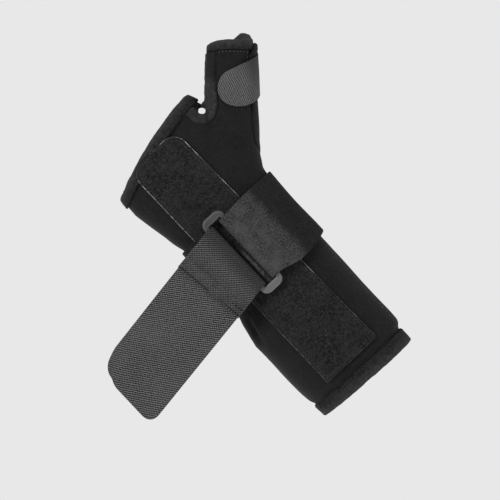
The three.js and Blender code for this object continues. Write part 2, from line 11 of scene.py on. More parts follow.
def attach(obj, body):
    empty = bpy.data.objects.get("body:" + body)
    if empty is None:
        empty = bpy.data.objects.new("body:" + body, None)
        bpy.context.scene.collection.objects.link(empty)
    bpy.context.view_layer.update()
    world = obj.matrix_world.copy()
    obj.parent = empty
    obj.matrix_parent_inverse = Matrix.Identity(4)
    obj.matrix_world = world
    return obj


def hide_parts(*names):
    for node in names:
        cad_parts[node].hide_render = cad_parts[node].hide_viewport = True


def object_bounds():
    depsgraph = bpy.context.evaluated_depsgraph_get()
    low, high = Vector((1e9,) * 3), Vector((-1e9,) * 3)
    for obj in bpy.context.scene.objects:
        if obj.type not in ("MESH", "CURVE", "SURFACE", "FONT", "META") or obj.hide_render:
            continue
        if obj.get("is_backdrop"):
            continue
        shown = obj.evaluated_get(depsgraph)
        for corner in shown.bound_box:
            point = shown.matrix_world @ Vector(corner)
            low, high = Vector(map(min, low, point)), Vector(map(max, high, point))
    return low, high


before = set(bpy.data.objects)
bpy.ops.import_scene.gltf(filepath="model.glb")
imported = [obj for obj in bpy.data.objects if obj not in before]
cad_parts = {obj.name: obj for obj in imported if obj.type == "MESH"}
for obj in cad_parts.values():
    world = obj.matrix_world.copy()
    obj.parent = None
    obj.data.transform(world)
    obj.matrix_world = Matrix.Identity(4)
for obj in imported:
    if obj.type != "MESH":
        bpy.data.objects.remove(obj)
cad_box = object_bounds()

# A padded thumb and wrist splint with its palm side towards the camera.
# Shapes are worked out in millimetres, in the model's own frame, and made in metres.
MM = 0.001

# Cloth thicknesses and clearance, as in the model
GAP = 0.35
TAPE = 1.4
PANEL = 1.6
BAND = 2.0
END_TAPE = 1.5
THUMB_STRAP = 1.3
POCKET = 2.6

# Arm tube
SLEEVE_LENGTH = 207.0
FOREARM_BREADTH = 80.0
FOREARM_DEPTH = 62.0
ARM_SQUARENESS = 2.3
PALM_EDGE_SLOPE = 0.259
PALM_EDGE_BOW = 3.0
CUFF_SLOPE = -0.035
LEAN_START = 0.72
CUFF_LEAN_END = 0.12

# Thumb tube
WEB_REACH = 57.9
WEB_DROP = 12.8
WEB_HEIGHT = SLEEVE_LENGTH - WEB_DROP
THUMB_LEAN = math.radians(43.3)
THUMB_LENGTH = 40.0
THUMB_ROOT = 52.0
THUMB_BREADTH = 29.2
THUMB_DEPTH = 30.0
THUMB_FORWARD = 5.0
THUMB_SQUARENESS = 2.1

# Bound edges, panel, ring, band and straps
CUFF_BINDING = 10.0
PALM_BINDING = 8.0
THUMB_BINDING = 6.5
EDGE_INSET = TAPE + GAP
PANEL_WIDTH = 43.5
PANEL_START = 17.5
PANEL_SETBACK = 2.5
PANEL_END = SLEEVE_LENGTH - PANEL_SETBACK
PANEL_TAPER = 3.5
PANEL_PALM_CORNER = 10.0
RING_WIDTH = 16.8
RING_SIDE_BAR = 3.4
RING_OFFSET = -3.9
BAND_HEIGHT = 116.8
BAND_WIDTH = 53.0
BAND_FAN = 3.0
BAND_FLARE = 1.4
BAND_AT_RING = 51.0
FOLD_END = 23.0
SEAM_REACH = -38.0
SEAM_LAP = 11.0
SEAM_SLANT = 0.11
RETURN_SAG = 0.5
PULL_SLOPE = 0.14
END_TAPE_LENGTH = 97.0
END_TAPE_WIDTH = 50.0
END_TAPE_CORNER = 8.0
END_TAPE_DROP = 6.0
TAPE_WAVE = 0.5
TAPE_WAVE_LENGTH = 11.0
CURL_LENGTH = 20.0
CORNER_CURL = (2.0, 4.0, -2.5)
THUMB_STRAP_WIDTH = 25.0
POCKET_WIDTH = 16.0
SIDE_SEAM_TURN = -0.38

# A cloth strip's thickness at its rounded edge, as a share of the whole
EDGE_THICKNESS = 0.45

# What the lights are aimed at, in metres
SPLINT_MIDDLE = (0.0, 0.0, 0.11)

# along, ulnar, radial, palmar, dorsal: shares of the length, half the breadth and half the depth
ARM_SECTIONS = [
    (0.000, 0.925, 0.895, 0.920, 0.920),
    (0.051, 0.930, 0.900, 0.925, 0.925),
    (0.070, 0.975, 0.995, 0.995, 0.995),
    (0.190, 0.995, 1.000, 0.985, 0.985),
    (0.315, 1.005, 1.010, 0.955, 0.955),
    (0.345, 0.965, 1.012, 0.930, 0.935),
    (0.375, 0.920, 1.010, 0.900, 0.920),
    (0.415, 0.870, 1.020, 0.875, 0.900),
    (0.480, 0.840, 1.035, 0.855, 0.875),
    (0.620, 0.800, 1.065, 0.830, 0.850),
    (0.690, 0.785, 1.085, 0.815, 0.830),
    (0.765, 0.845, 1.140, 0.790, 0.810),
    (0.840, 0.915, 1.145, 0.760, 0.780),
    (0.920, 0.965, 1.135, 0.730, 0.745),
    (0.960, 0.960, 1.060, 0.700, 0.720),
    (1.000, 0.935, 0.980, 0.680, 0.700),
]

# along, ulnar, radial, palmar, dorsal, forward: shares in the same way, the last of THUMB_FORWARD
THUMB_SECTIONS = [
    (0.00, 1.75, 1.50, 1.30, 1.25, 0.1),
    (0.13, 1.60, 1.46, 1.28, 1.22, 0.2),
    (0.28, 1.38, 1.24, 1.20, 1.15, 0.4),
    (0.43, 1.14, 1.11, 1.10, 1.06, 0.6),
    (0.57, 1.00, 1.05, 1.03, 1.02, 0.8),
    (0.78, 0.98, 1.00, 0.98, 0.98, 1.0),
    (1.00, 0.93, 0.91, 0.92, 0.94, 1.0),
]

# turn in degrees, spread in degrees, rise as a share of the thumb binding
THUMB_EDGE_WAVES = [(42, 31, 0.85), (180, 45, -0.45)]

# turn in degrees round the thumb, along as a share of the thumb's length
THUMB_STRAP_LINE = [
    (-114, 0.07),
    (-71, 0.215),
    (-30, 0.355),
    (0, 0.440),
    (40, 0.495),
    (95, 0.520),
    (150, 0.525),
]

# Creases pressed into the sleeve: from x, z to x, z on the palm side, width and depth
SLEEVE_CREASES = [
    (-21.0, 89.0, -31.0, 82.0, 1.7, 1.7),
    (-31.0, 82.0, -35.0, 66.0, 1.7, 1.9),
    (-24.0, 150.0, -30.0, 160.0, 3.0, 0.7),
    (30.0, 150.0, 38.0, 172.0, 3.5, 0.8),
    (40.0, 168.0, 58.0, 178.0, 3.5, 0.7),
]


def lerp(a, b, share):
    return a + (b - a) * share


def smoothstep(value, low, high):
    share = min(max((value - low) / (high - low), 0.0), 1.0)
    return share * share * (3 - 2 * share)


def spread(start, end, count):
    return [lerp(start, end, step / count) for step in range(count + 1)]


def section_at(rows, share):
    for low, high in zip(rows, rows[1:]):
        if share <= high[0]:
            break
    part = min(max((share - low[0]) / (high[0] - low[0]), 0.0), 1.0)
    return [lerp(a, b, part) for a, b in zip(low, high)][1:]


def rounded(value, squareness):
    return math.copysign(abs(value) ** (2 / squareness), value)


def arm_radii(turn, along, lift):
    ulnar, radial, palmar, dorsal = section_at(ARM_SECTIONS, along / SLEEVE_LENGTH)
    across = (ulnar if math.cos(turn) < 0 else radial) * FOREARM_BREADTH / 2 + lift
    deep = (palmar if math.sin(turn) < 0 else dorsal) * FOREARM_DEPTH / 2 + lift
    return across, deep


# Turn 0 is the thumb side, a quarter turn the back, three quarters the palm side
def arm_point(turn, along, lift):
    across, deep = arm_radii(turn, along, lift)
    x = across * rounded(math.cos(turn), ARM_SQUARENESS)
    y = deep * rounded(math.sin(turn), ARM_SQUARENESS)
    lean = smoothstep(along, LEAN_START * SLEEVE_LENGTH, SLEEVE_LENGTH)
    bow = PALM_EDGE_BOW * (1 - (2 * x / FOREARM_BREADTH) ** 2)
    cuff_lean = 1 - smoothstep(along, 0, CUFF_LEAN_END * SLEEVE_LENGTH)
    z = along + lean * (PALM_EDGE_SLOPE * x + bow) + cuff_lean * CUFF_SLOPE * x
    return Vector((x, y, z))


def palm_turn(x, along, lift):
    middle = 1.5 * math.pi
    side = -1 if x < 0 else 1
    across = arm_radii(middle + side * 0.1, along, lift)[0]
    share = min(abs(x) / across, 1.0)
    return middle + side * math.asin(share ** (ARM_SQUARENESS / 2))


def palm_place(x, along, lift):
    return arm_point(palm_turn(x, along, lift), along, lift)


THUMB_AXIS = Vector((math.sin(THUMB_LEAN), 0, math.cos(THUMB_LEAN)))
THUMB_OUTWARD = Vector((math.cos(THUMB_LEAN), 0, -math.sin(THUMB_LEAN)))
WEB_POINT = Vector((WEB_REACH, 0, WEB_HEIGHT))


def thumb_edge_rise(turn):
    rise = 0.0
    for middle, width, share in THUMB_EDGE_WAVES:
        away = turn - math.radians(middle)
        away = math.atan2(math.sin(away), math.cos(away))
        rise += share * THUMB_BINDING * math.exp(-((away / math.radians(width)) ** 2))
    return rise


def thumb_point(turn, along, lift):
    share = (along + THUMB_ROOT) / (THUMB_ROOT + THUMB_LENGTH)
    ulnar, radial, palmar, dorsal, forward = section_at(THUMB_SECTIONS, share)
    across = (ulnar if math.cos(turn) < 0 else radial) * THUMB_BREADTH / 2 + lift
    deep = (palmar if math.sin(turn) < 0 else dorsal) * THUMB_DEPTH / 2 + lift
    y = deep * rounded(math.sin(turn), THUMB_SQUARENESS) - forward * THUMB_FORWARD
    rise = thumb_edge_rise(turn) * smoothstep(along, THUMB_LENGTH / 2, THUMB_LENGTH)
    outward = across * rounded(math.cos(turn), THUMB_SQUARENESS)
    place = WEB_POINT + THUMB_OUTWARD * outward + THUMB_AXIS * (along + rise)
    place.y = y
    return place


# Ring, band and tape places
WRAP = RING_SIDE_BAR / 2 + GAP + BAND / 2
BAR_SPACING = (RING_WIDTH - RING_SIDE_BAR) / 2
OVER_PANEL = GAP + PANEL + GAP
FLAT = OVER_PANEL + BAND / 2
BAND_LOW = BAND_HEIGHT - BAND_AT_RING / 2
RING_DEPTH = palm_place(RING_OFFSET, BAND_LOW, FLAT).y - WRAP
THUMB_BAR = RING_OFFSET + BAR_SPACING
FINGER_BAR = RING_OFFSET - BAR_SPACING


def band_line_height(side, x):
    """Height of a line along the band where it lies on the palm side, narrower at the ring."""
    away = max(x - THUMB_BAR, FINGER_BAR - x, 0)
    share = smoothstep(away, 0, FOLD_END - THUMB_BAR)
    fan = min(side, 0) * BAND_FAN * smoothstep(x, THUMB_BAR, FOLD_END)
    return BAND_HEIGHT + side * lerp(BAND_AT_RING, BAND_WIDTH, share) / 2 + fan


def return_height(x, offset):
    """Height of a line on the band's return, which is pulled a little askew."""
    return BAND_HEIGHT + PULL_SLOPE * (x - FINGER_BAR) + offset


def palm_ply(side, places, lift, bar_side, near):
    """A ply on the palm side that comes up to the ring's bar where near gives 1."""
    spine = []
    for x in places:
        point = palm_place(x, band_line_height(side, x), lift)
        point.y = lerp(point.y, RING_DEPTH + bar_side * WRAP, near(x))
        spine.append(point)
    return spine


def half_turn(side, bar, way):
    """Half a turn of the band round one of the ring's bars."""
    z = band_line_height(side, bar)
    return [Vector((bar + way * WRAP * math.sin(turn), RING_DEPTH + WRAP * math.cos(turn), z))
            for turn in spread(0, math.pi, 16)]


# The band's middle line at one place across its width, from its folded-under end round the
# thumb-side bar, the back and the other bar to the seam. Also gives the steps at which the
# fold's cover ends and the return over the ring begins.
def band_spine(side):
    ply = BAND + GAP
    fold_middle = lerp(THUMB_BAR, FOLD_END, 0.5)
    spine = palm_ply(side, spread(FOLD_END, THUMB_BAR + BAND, 10), FLAT, 1,
                     lambda x: 1 - smoothstep(x, THUMB_BAR, fold_middle))
    spine += half_turn(side, THUMB_BAR, -1)
    spine += palm_ply(side, spread(THUMB_BAR + BAND, FOLD_END + BAND, 20), FLAT + ply, -1,
                      lambda x: 1 - smoothstep(x, THUMB_BAR, FOLD_END))
    cover_ends = len(spine)
    edge = BAND_HEIGHT + side * BAND_WIDTH / 2
    wide = band_line_height(side, FOLD_END)
    start = palm_turn(FOLD_END + BAND, wide, FLAT + ply)
    leave = palm_turn(-PANEL_WIDTH / 2 - BAND, edge, FLAT) + 2 * math.pi
    step_off = math.radians(22)
    for turn in spread(start, leave, 150)[1:]:
        z = lerp(wide, edge, smoothstep(turn, start, 2 * math.pi))
        fallen = smoothstep(turn, start, start + step_off)
        risen = smoothstep(turn, leave - step_off, leave)
        high = max((1 - fallen) * (FLAT + ply), risen * FLAT, GAP + BAND / 2)
        flare = BAND_FLARE * smoothstep(-side, -0.2, 1) * fallen * max(math.cos(turn), 0)
        spine.append(arm_point(turn, z, high + flare))
    spine += palm_ply(side, spread(-PANEL_WIDTH / 2 - BAND, FINGER_BAR - BAND, 12)[1:], FLAT, 1,
                      lambda x: smoothstep(x, -PANEL_WIDTH / 2, FINGER_BAR))
    spine += half_turn(side, FINGER_BAR, 1)
    return_starts = len(spine)
    for x in spread(FINGER_BAR - BAND, SEAM_REACH, 26):
        share = (x - FINGER_BAR) / (SEAM_REACH - FINGER_BAR)
        offset = side * BAND_AT_RING / 2
        slant = -SEAM_SLANT * offset * share
        sag = RETURN_SAG * math.sin(math.pi * share) * (1 - side * side)
        spine.append(Vector((x + slant, RING_DEPTH - WRAP + sag, return_height(x, offset))))
    return spine, cover_ends, return_starts


def end_tape_spine(side):
    """The hook tape's middle line: flat on the seam, then hanging, its upper corner curled."""
    start = SEAM_REACH + SEAM_LAP
    end = SEAM_REACH - END_TAPE_LENGTH + SEAM_LAP
    corner = [end + share * END_TAPE_CORNER for share in (0.03, 0.1, 0.2, 0.35, 0.55, 0.8)]
    places = spread(start, end + 1.1 * END_TAPE_CORNER, 90) + corner[::-1] + [end]
    curl_x, curl_y, curl_z = CORNER_CURL
    spine = []
    for x in places:
        from_end = min(x - end, END_TAPE_CORNER) / END_TAPE_CORNER
        inset = END_TAPE_CORNER * (1 - math.sqrt(1 - (1 - from_end) ** 2))
        out = smoothstep(-x, -SEAM_REACH, -end)
        offset = side * (END_TAPE_WIDTH / 2 - inset)
        slant = -SEAM_SLANT * offset * smoothstep(x, end, start)
        curl = smoothstep(-x, -end - CURL_LENGTH, -end) * smoothstep(side, 0.45, 1.0)
        wave = TAPE_WAVE * math.sin(x / TAPE_WAVE_LENGTH) * out * side
        y = RING_DEPTH - WRAP + (BAND + END_TAPE) / 2 + GAP + END_TAPE_DROP * out + wave
        z = return_height(x, offset)
        spine.append(Vector((x + slant + curl_x * curl, y + curl_y * curl, z + curl_z * curl)))
    return spine


def pocket_step(along):
    edge = THUMB_LENGTH - THUMB_BINDING
    return EDGE_INSET * smoothstep(along, edge - 2 * EDGE_INSET, edge - GAP)


def curve_through(stops):
    """Points on a smooth curve through the stops, and how far along the curve each one lies."""
    ends = [2 * stops[0] - stops[1], *stops, 2 * stops[-1] - stops[-2]]
    steps = 40
    fine = []
    for a, b, c, d in zip(ends, ends[1:], ends[2:], ends[3:]):
        for step in range(steps):
            t = step / steps
            fine.append(0.5 * ((2 * b) + (c - a) * t + (2 * a - 5 * b + 4 * c - d) * t * t
                               + (3 * b - a - 3 * c + d) * t ** 3))
    fine.append(stops[-1])
    reach = [0.0]
    for a, b in zip(fine, fine[1:]):
        reach.append(reach[-1] + (b - a).length)
    return fine, reach


# The thumb strap's middle surface as a grid of lines across it
def thumb_strap_grid(sides):
    radius = THUMB_DEPTH / 2
    stops = [Vector((math.radians(turn) * radius, along * THUMB_LENGTH)) for turn, along in THUMB_STRAP_LINE]
    fine, reach = curve_through(stops)
    length = reach[-1]
    half = THUMB_STRAP_WIDTH / 2
    tip = 14
    shares = [half / length * (1 - math.cos(math.pi / 2 * step / tip)) for step in range(1, tip + 1)]
    shares += spread(shares[-1], 1, 90)[1:]
    pocket_turn = POCKET_WIDTH / THUMB_DEPTH
    columns = []
    for share in shares:
        at = share * length
        spot = max(index for index, far in enumerate(reach[:-1]) if far <= at + 1e-9)
        part = (at - reach[spot]) / (reach[spot + 1] - reach[spot])
        middle = fine[spot].lerp(fine[spot + 1], min(part, 1.0))
        ahead = (fine[spot + 1] - fine[spot]).normalized()
        from_tip = min(at / half, 1)
        width = half * math.sqrt(1 - (1 - from_tip) ** 2)
        column = []
        for side in sides:
            turn = (middle.x - ahead.y * side * width) / radius
            along = middle.y + ahead.x * side * width
            on_pocket = 1 - smoothstep(abs(turn), pocket_turn + 0.2, pocket_turn + 0.7)
            lift = GAP + on_pocket * (POCKET + GAP + pocket_step(along)) + THUMB_STRAP / 2
            column.append(thumb_point(turn, along, lift))
        columns.append(column)
    return [list(row) for row in zip(*columns)]


# Making and finishing meshes

def placed(name, data):
    """An object at the origin of the scene."""
    made = bpy.data.objects.new(name, data)
    bpy.context.scene.collection.objects.link(made)
    return made


def piece_from(name, points, faces, edges=()):
    mesh = bpy.data.meshes.new(name)
    mesh.from_pydata([tuple(p * MM) for p in points], edges, faces)
    mesh.update()
    return placed(name, mesh)


def skin_of(piece):
    """The piece's surface, for finding the nearest place on it."""
    return BVHTree.FromObject(piece, bpy.context.evaluated_depsgraph_get())


def seat(piece, carrier, reach, sink):
    """Presses the parts of a piece that lie close to its carrier down onto it, as stitching does."""
    pressed_home = 0.6 * reach
    skin = skin_of(carrier)
    for vertex in piece.data.vertices:
        place, normal, _, away = skin.find_nearest(vertex.co, 2 * reach * MM)
        if place is None:
            continue
        inside = (vertex.co - place).dot(normal) < 0
        if inside or away > reach * MM:
            continue
        down = 1 - smoothstep(away / MM, pressed_home, reach)
        vertex.co = vertex.co.lerp(place - normal * sink * MM, down)
    piece.data.update()


def feather(piece, carrier, width, left):
    """Thins a piece over the width beside its sewn sides, so that it runs into its carrier there."""
    search = 5
    sewn_reach = 0.8
    facing_down = -0.3
    skin = skin_of(carrier)
    sewn = []
    raised = []
    for vertex in piece.data.vertices:
        place, normal, _, away = skin.find_nearest(vertex.co, search * MM)
        if place is None or (vertex.co - place).dot(normal) < 0:
            continue
        if vertex.normal.dot(normal) < facing_down:
            continue
        raised.append((vertex, place, away))
        if away < sewn_reach * MM:
            sewn.append(vertex.co.copy())
    near = KDTree(len(sewn))
    for index, place in enumerate(sewn):
        near.insert(place, index)
    near.balance()
    for vertex, place, away in raised:
        from_seam = near.find(vertex.co)[2] / MM
        full = smoothstep(from_seam, 0, width)
        target = lerp(min(away, left * MM), away, full)
        vertex.co = place + (vertex.co - place) * (target / max(away, 1e-6))
    piece.data.update()


def sink_end(piece, carrier, low, high):
    """Thins a piece towards its lower end, between two heights."""
    thinnest = 0.3
    skin = skin_of(carrier)
    for vertex in piece.data.vertices:
        left = lerp(thinnest, 1, smoothstep(vertex.co.z / MM, low, high))
        place, normal, _, _ = skin.find_nearest(vertex.co)
        if left < 1 and (vertex.co - place).dot(normal) > 0:
            vertex.co = place + (vertex.co - place) * left
    piece.data.update()


def shade_smooth(piece):
    piece.data.polygons.foreach_set("use_smooth", [True] * len(piece.data.polygons))
    piece.data.update()


def dress(piece, *finishes):
    for finish in finishes:
        piece.data.materials.append(finish)


def applied(piece):
    """The piece with its modifiers worked into its mesh."""
    graph = bpy.context.evaluated_depsgraph_get()
    mesh = bpy.data.meshes.new_from_object(piece.evaluated_get(graph))
    piece.modifiers.clear()
    piece.data = mesh
    mesh.name = piece.name
    return piece


def merged_copy(node, name):
    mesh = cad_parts[node].data.copy()
    work = bmesh.new()
    work.from_mesh(mesh)
    bmesh.ops.remove_doubles(work, verts=work.verts, dist=0.01 * MM)
    work.to_mesh(mesh)
    work.free()
    mesh.materials.clear()
    return placed(name, mesh)


def softened_copy(node, name, voxel, rounds):
    """A copy of a CAD node on an even mesh, with its hard corners eased."""
    piece = merged_copy(node, name)
    remesh = piece.modifiers.new("even mesh", "REMESH")
    remesh.mode = "VOXEL"
    remesh.voxel_size = voxel * MM
    remesh.use_smooth_shade = True
    ease = piece.modifiers.new("ease", "SMOOTH")
    ease.factor = 0.5
    ease.iterations = rounds
    return applied(piece)


def places_of(piece):
    """Vertex places in millimetres and vertex normals, as arrays."""
    count = len(piece.data.vertices)
    places = np.empty(count * 3)
    normals = np.empty(count * 3)
    piece.data.vertices.foreach_get("co", places)
    piece.data.vertex_normals.foreach_get("vector", normals)
    return places.reshape(-1, 3) / MM, normals.reshape(-1, 3)


def put_places(piece, places):
    piece.data.vertices.foreach_set("co", (places * MM).ravel())
    piece.data.update()


RIPPLE_WAYS = np.array([
    (0.83, 0.41, 0.37), (-0.36, 0.74, 0.57), (0.21, -0.62, 0.76), (0.70, 0.12, -0.71), (-0.55, -0.31, 0.78),
])


def ripple(places, size, phase):
    """Smooth unevenness from -1 to 1 with bumps about the given size."""
    total = np.zeros(len(places))
    for index, way in enumerate(RIPPLE_WAYS):
        total += np.sin(places @ way * 2 * math.pi / (size * (0.8 + 0.17 * index)) + phase + 2.1 * index)
    return total / len(RIPPLE_WAYS)


def press_creases(places, creases):
    """How far each point moves inwards for the creases on the palm side."""
    moved = np.zeros(len(places))
    back_begins = 4
    palm = places[:, 1] < back_begins
    for x0, z0, x1, z1, width, depth in creases:
        start = np.array((x0, z0))
        run = np.array((x1, z1)) - start
        flat = places[:, [0, 2]] - start
        share = np.clip(flat @ run / (run @ run), 0, 1)
        away = np.linalg.norm(flat - share[:, None] * run, axis=1) / width
        fade = np.sin(np.pi * np.clip(share, 0.08, 0.92)) ** 0.5
        groove = np.exp(-away ** 2)
        swollen_banks = 0.45 * np.exp(-(away / 2.6) ** 2)
        moved += palm * fade * depth * (groove - swollen_banks)
    return moved


def plump(piece, held, pressure, cap, steps):
    """Blows a closed padded form up a little by cloth simulation; held points stay."""
    group = piece.vertex_groups.new(name="held")
    for index, weight in enumerate(held):
        if weight > 0:
            group.add([index], float(weight), "REPLACE")
    cloth = piece.modifiers.new("padding", "CLOTH")
    cloth.settings.quality = 4
    cloth.settings.mass = 0.1
    cloth.settings.use_pressure = True
    cloth.settings.uniform_pressure_force = pressure
    cloth.settings.effector_weights.gravity = 0
    cloth.settings.vertex_group_mass = "held"
    cloth.collision_settings.use_collision = False
    cloth.point_cache.frame_start = 1
    cloth.point_cache.frame_end = steps
    before, _ = places_of(piece)
    scene = bpy.context.scene
    for step in range(1, steps + 1):
        scene.frame_set(step)
    swollen = piece.evaluated_get(bpy.context.evaluated_depsgraph_get()).data
    after = np.empty(len(swollen.vertices) * 3)
    swollen.vertices.foreach_get("co", after)
    move = after.reshape(-1, 3) / MM - before
    length = np.linalg.norm(move, axis=1, keepdims=True)
    move *= np.minimum(1, cap / np.maximum(length, 1e-9))
    piece.modifiers.clear()
    piece.vertex_groups.clear()
    scene.frame_set(1)
    put_places(piece, before + move)


def face_outwards(mesh):
    """Turns the faces of a closed mesh to point outwards."""
    work = bmesh.new()
    work.from_mesh(mesh)
    bmesh.ops.recalc_face_normals(work, faces=work.faces)
    work.to_mesh(mesh)
    work.free()


def across_strip(edge, inner, count):
    """Places across a strip from -1 to 1, closer together at its rounded edges."""
    return [-share for share in edge] + spread(-inner, inner, count) + edge[::-1]


def strip_piece(name, rows, thickness, edge_round, plan):
    """A closed strip of cloth round a grid of middle points, rows[side][step], with its
    own flat map in metres. The outer face has finish 0, the inner face 1, the edges 2.
    A strip in plan has its thickness level. Also gives how far along each step lies."""
    grid = np.array([[tuple(p) for p in row] for row in rows])
    smoothing_rounds = 3
    for _ in range(smoothing_rounds):
        grid[1:-1] = 0.5 * grid[1:-1] + 0.25 * (grid[:-2] + grid[2:])
    ahead = np.empty_like(grid)
    ahead[:, 1:-1] = grid[:, 2:] - grid[:, :-2]
    ahead[:, 0] = grid[:, 1] - grid[:, 0]
    ahead[:, -1] = grid[:, -1] - grid[:, -2]
    if plan:
        normal = np.stack([ahead[..., 1], -ahead[..., 0], np.zeros(ahead.shape[:2])], axis=-1)
    else:
        across = np.empty_like(grid)
        across[1:-1] = grid[2:] - grid[:-2]
        across[0] = grid[1] - grid[0]
        across[-1] = grid[-1] - grid[-2]
        normal = np.cross(across, ahead)
    normal /= np.maximum(np.linalg.norm(normal, axis=-1, keepdims=True), 1e-9)
    sides, steps = grid.shape[:2]
    strides = np.linalg.norm(np.diff(grid[sides // 2], axis=0), axis=1)
    reach = np.concatenate([[0], np.cumsum(strides)])
    strides = np.linalg.norm(np.diff(grid, axis=0), axis=2)
    cross = np.concatenate([np.zeros((1, steps)), np.cumsum(strides, axis=0)])
    cross -= cross[-1] / 2
    from_edge = np.minimum(cross - cross[0], cross[-1] - cross)
    from_end = np.minimum(reach, reach[-1] - reach)[None, :] + 0.2
    round_off = np.clip(np.minimum(from_edge, from_end) / edge_round, 0, 1)
    half = thickness / 2 * lerp(EDGE_THICKNESS, 1, np.sqrt(1 - (1 - round_off) ** 2))
    outer = grid + normal * half[..., None]
    inner = grid - normal * half[..., None]
    points = [Vector(p) for p in outer.reshape(-1, 3)] + [Vector(p) for p in inner.reshape(-1, 3)]
    low = lambda side, step: side * steps + step
    high = lambda side, step: sides * steps + low(side, step)
    last_side = sides - 1
    last_step = steps - 1
    faces = []
    finishes = []
    for side in range(last_side):
        for step in range(last_step):
            faces.append((low(side, step), low(side, step + 1),
                          low(side + 1, step + 1), low(side + 1, step)))
            faces.append((high(side, step), high(side + 1, step),
                          high(side + 1, step + 1), high(side, step + 1)))
            finishes += [0, 1]
    for step in range(last_step):
        faces.append((low(0, step), high(0, step), high(0, step + 1), low(0, step + 1)))
        faces.append((low(last_side, step), low(last_side, step + 1),
                      high(last_side, step + 1), high(last_side, step)))
        finishes += [2, 2]
    for side in range(last_side):
        faces.append((low(side, 0), low(side + 1, 0), high(side + 1, 0), high(side, 0)))
        faces.append((low(side, last_step), high(side, last_step),
                      high(side + 1, last_step), low(side + 1, last_step)))
        finishes += [2, 2]
    piece = piece_from(name, points, faces)
    mesh = piece.data
    mesh.polygons.foreach_set("material_index", finishes)
    flat = np.stack([np.broadcast_to(reach, cross.shape), cross], axis=-1).reshape(-1, 2) * MM
    flat = np.concatenate([flat, flat])
    corner_vertex = np.empty(len(mesh.loops), int)
    mesh.loops.foreach_get("vertex_index", corner_vertex)
    layer = mesh.uv_layers.new(name="cloth")
    layer.data.foreach_set("uv", flat[corner_vertex].ravel())
    face_outwards(mesh)
    shade_smooth(piece)
    return piece, reach


# Node helpers

def feed(socket, value):
    """Gives a socket a plain value, or the output of another node."""
    if isinstance(value, bpy.types.NodeSocket):
        socket.id_data.links.new(value, socket)
    else:
        socket.default_value = value


def add(tree, kind, inputs=None, **settings):
    """A node with its settings made and then its inputs fed, by name or by number."""
    made = tree.nodes.new(kind)
    for name, value in settings.items():
        setattr(made, name, value)
    for name, value in (inputs or {}).items():
        feed(made.inputs[name], value)
    return made


def sum_of(operation, first, second=0.0):
    """The outcome of one sum on a node's output and a number or another output."""
    made = add(first.id_data, "ShaderNodeMath", {0: first, 1: second}, operation=operation)
    return made.outputs[0]


def times(first, second):
    return sum_of("MULTIPLY", first, second)


def plus(first, second):
    return sum_of("ADD", first, second)


def mixed(factor, first, second):
    made = add(factor.id_data, "ShaderNodeMix", {0: factor, 6: first, 7: second}, data_type="RGBA")
    return made.outputs[2]


def between(value, low, high):
    """The value's place from low to high, held to 0 and 1."""
    made = add(value.id_data, "ShaderNodeMapRange", {"Value": value, "From Min": low, "From Max": high})
    return made.outputs["Result"]


def within(value, begins, full, fades, ends):
    """1 from full to fades, running out to 0 at begins and at ends; all in millimetres."""
    return times(between(value, begins * MM, full * MM), between(value, ends * MM, fades * MM))


def axes_of(vector):
    return add(vector.id_data, "ShaderNodeSeparateXYZ", {0: vector}).outputs


def scaled(vector, size):
    made = add(vector.id_data, "ShaderNodeVectorMath", {"Vector": vector, "Scale": size}, operation="SCALE")
    return made.outputs["Vector"]


def noise_of(vector, scale, detail, roughness):
    made = add(vector.id_data, "ShaderNodeTexNoise",
               {"Vector": vector, "Scale": scale, "Detail": detail, "Roughness": roughness})
    return made.outputs[0]


def grain_of(vector, per_metre, detail, roughness):
    """Noise with so many grains to the metre."""
    return noise_of(scaled(vector, per_metre), 1.0, detail, roughness)


def group_tree(name, kind, given, results):
    """A node group. Its sockets are numbers, apart from the vector or the geometry that it works on."""
    tree = bpy.data.node_groups.new(name, kind)
    for way, labels in (("INPUT", given), ("OUTPUT", results)):
        for label in labels:
            sort = label if label in ("Vector", "Geometry") else "Float"
            tree.interface.new_socket(label, in_out=way, socket_type="NodeSocket" + sort)
    return tree, add(tree, "NodeGroupInput").outputs, add(tree, "NodeGroupOutput").inputs


def nap_group():
    """Brushed or looped pile: short fibres in tufts, with soft patches where it lies over."""
    tree, given, result = group_tree("fibre nap", "ShaderNodeTree", ["Vector", "Fibres per metre"],
                                     ["Shade", "Height", "Patches"])
    vector = scaled(given["Vector"], given["Fibres per metre"])
    fibres = noise_of(vector, 1.0, 4, 0.75)
    tufts = noise_of(vector, 0.28, 3, 0.6)
    patches = noise_of(vector, 0.045, 2, 0.5)
    feed(result["Shade"], plus(times(fibres, 0.8), times(tufts, 0.2)))
    feed(result["Height"], plus(fibres, tufts))
    feed(result["Patches"], patches)
    return tree


def weave_group():
    """Threads over and under each other on a flat map, uneven as woven tape is."""
    tree, given, result = group_tree("tape weave", "ShaderNodeTree", ["Vector", "Warp pitch", "Weft pitch"],
                                     ["Shade", "Height"])
    wobble = grain_of(given["Vector"], 420, 2, 0.5)
    flat = axes_of(given["Vector"])
    waves = []
    for axis, pitch in ((0, "Weft pitch"), (1, "Warp pitch")):
        turns = plus(sum_of("DIVIDE", flat[axis], given[pitch]), times(wobble, 0.7))
        wave = sum_of("COSINE", times(turns, 2 * math.pi))
        waves.append(plus(times(wave, 0.5), 0.5))
    rows, threads = waves
    height = times(rows, plus(times(threads, 0.7), 0.3))
    grain = grain_of(given["Vector"], 1100, 2, 0.6)
    feed(result["Height"], height)
    feed(result["Shade"], plus(times(height, 0.6), times(grain, 0.4)))
    return tree


NAP = nap_group()
WEAVE = weave_group()


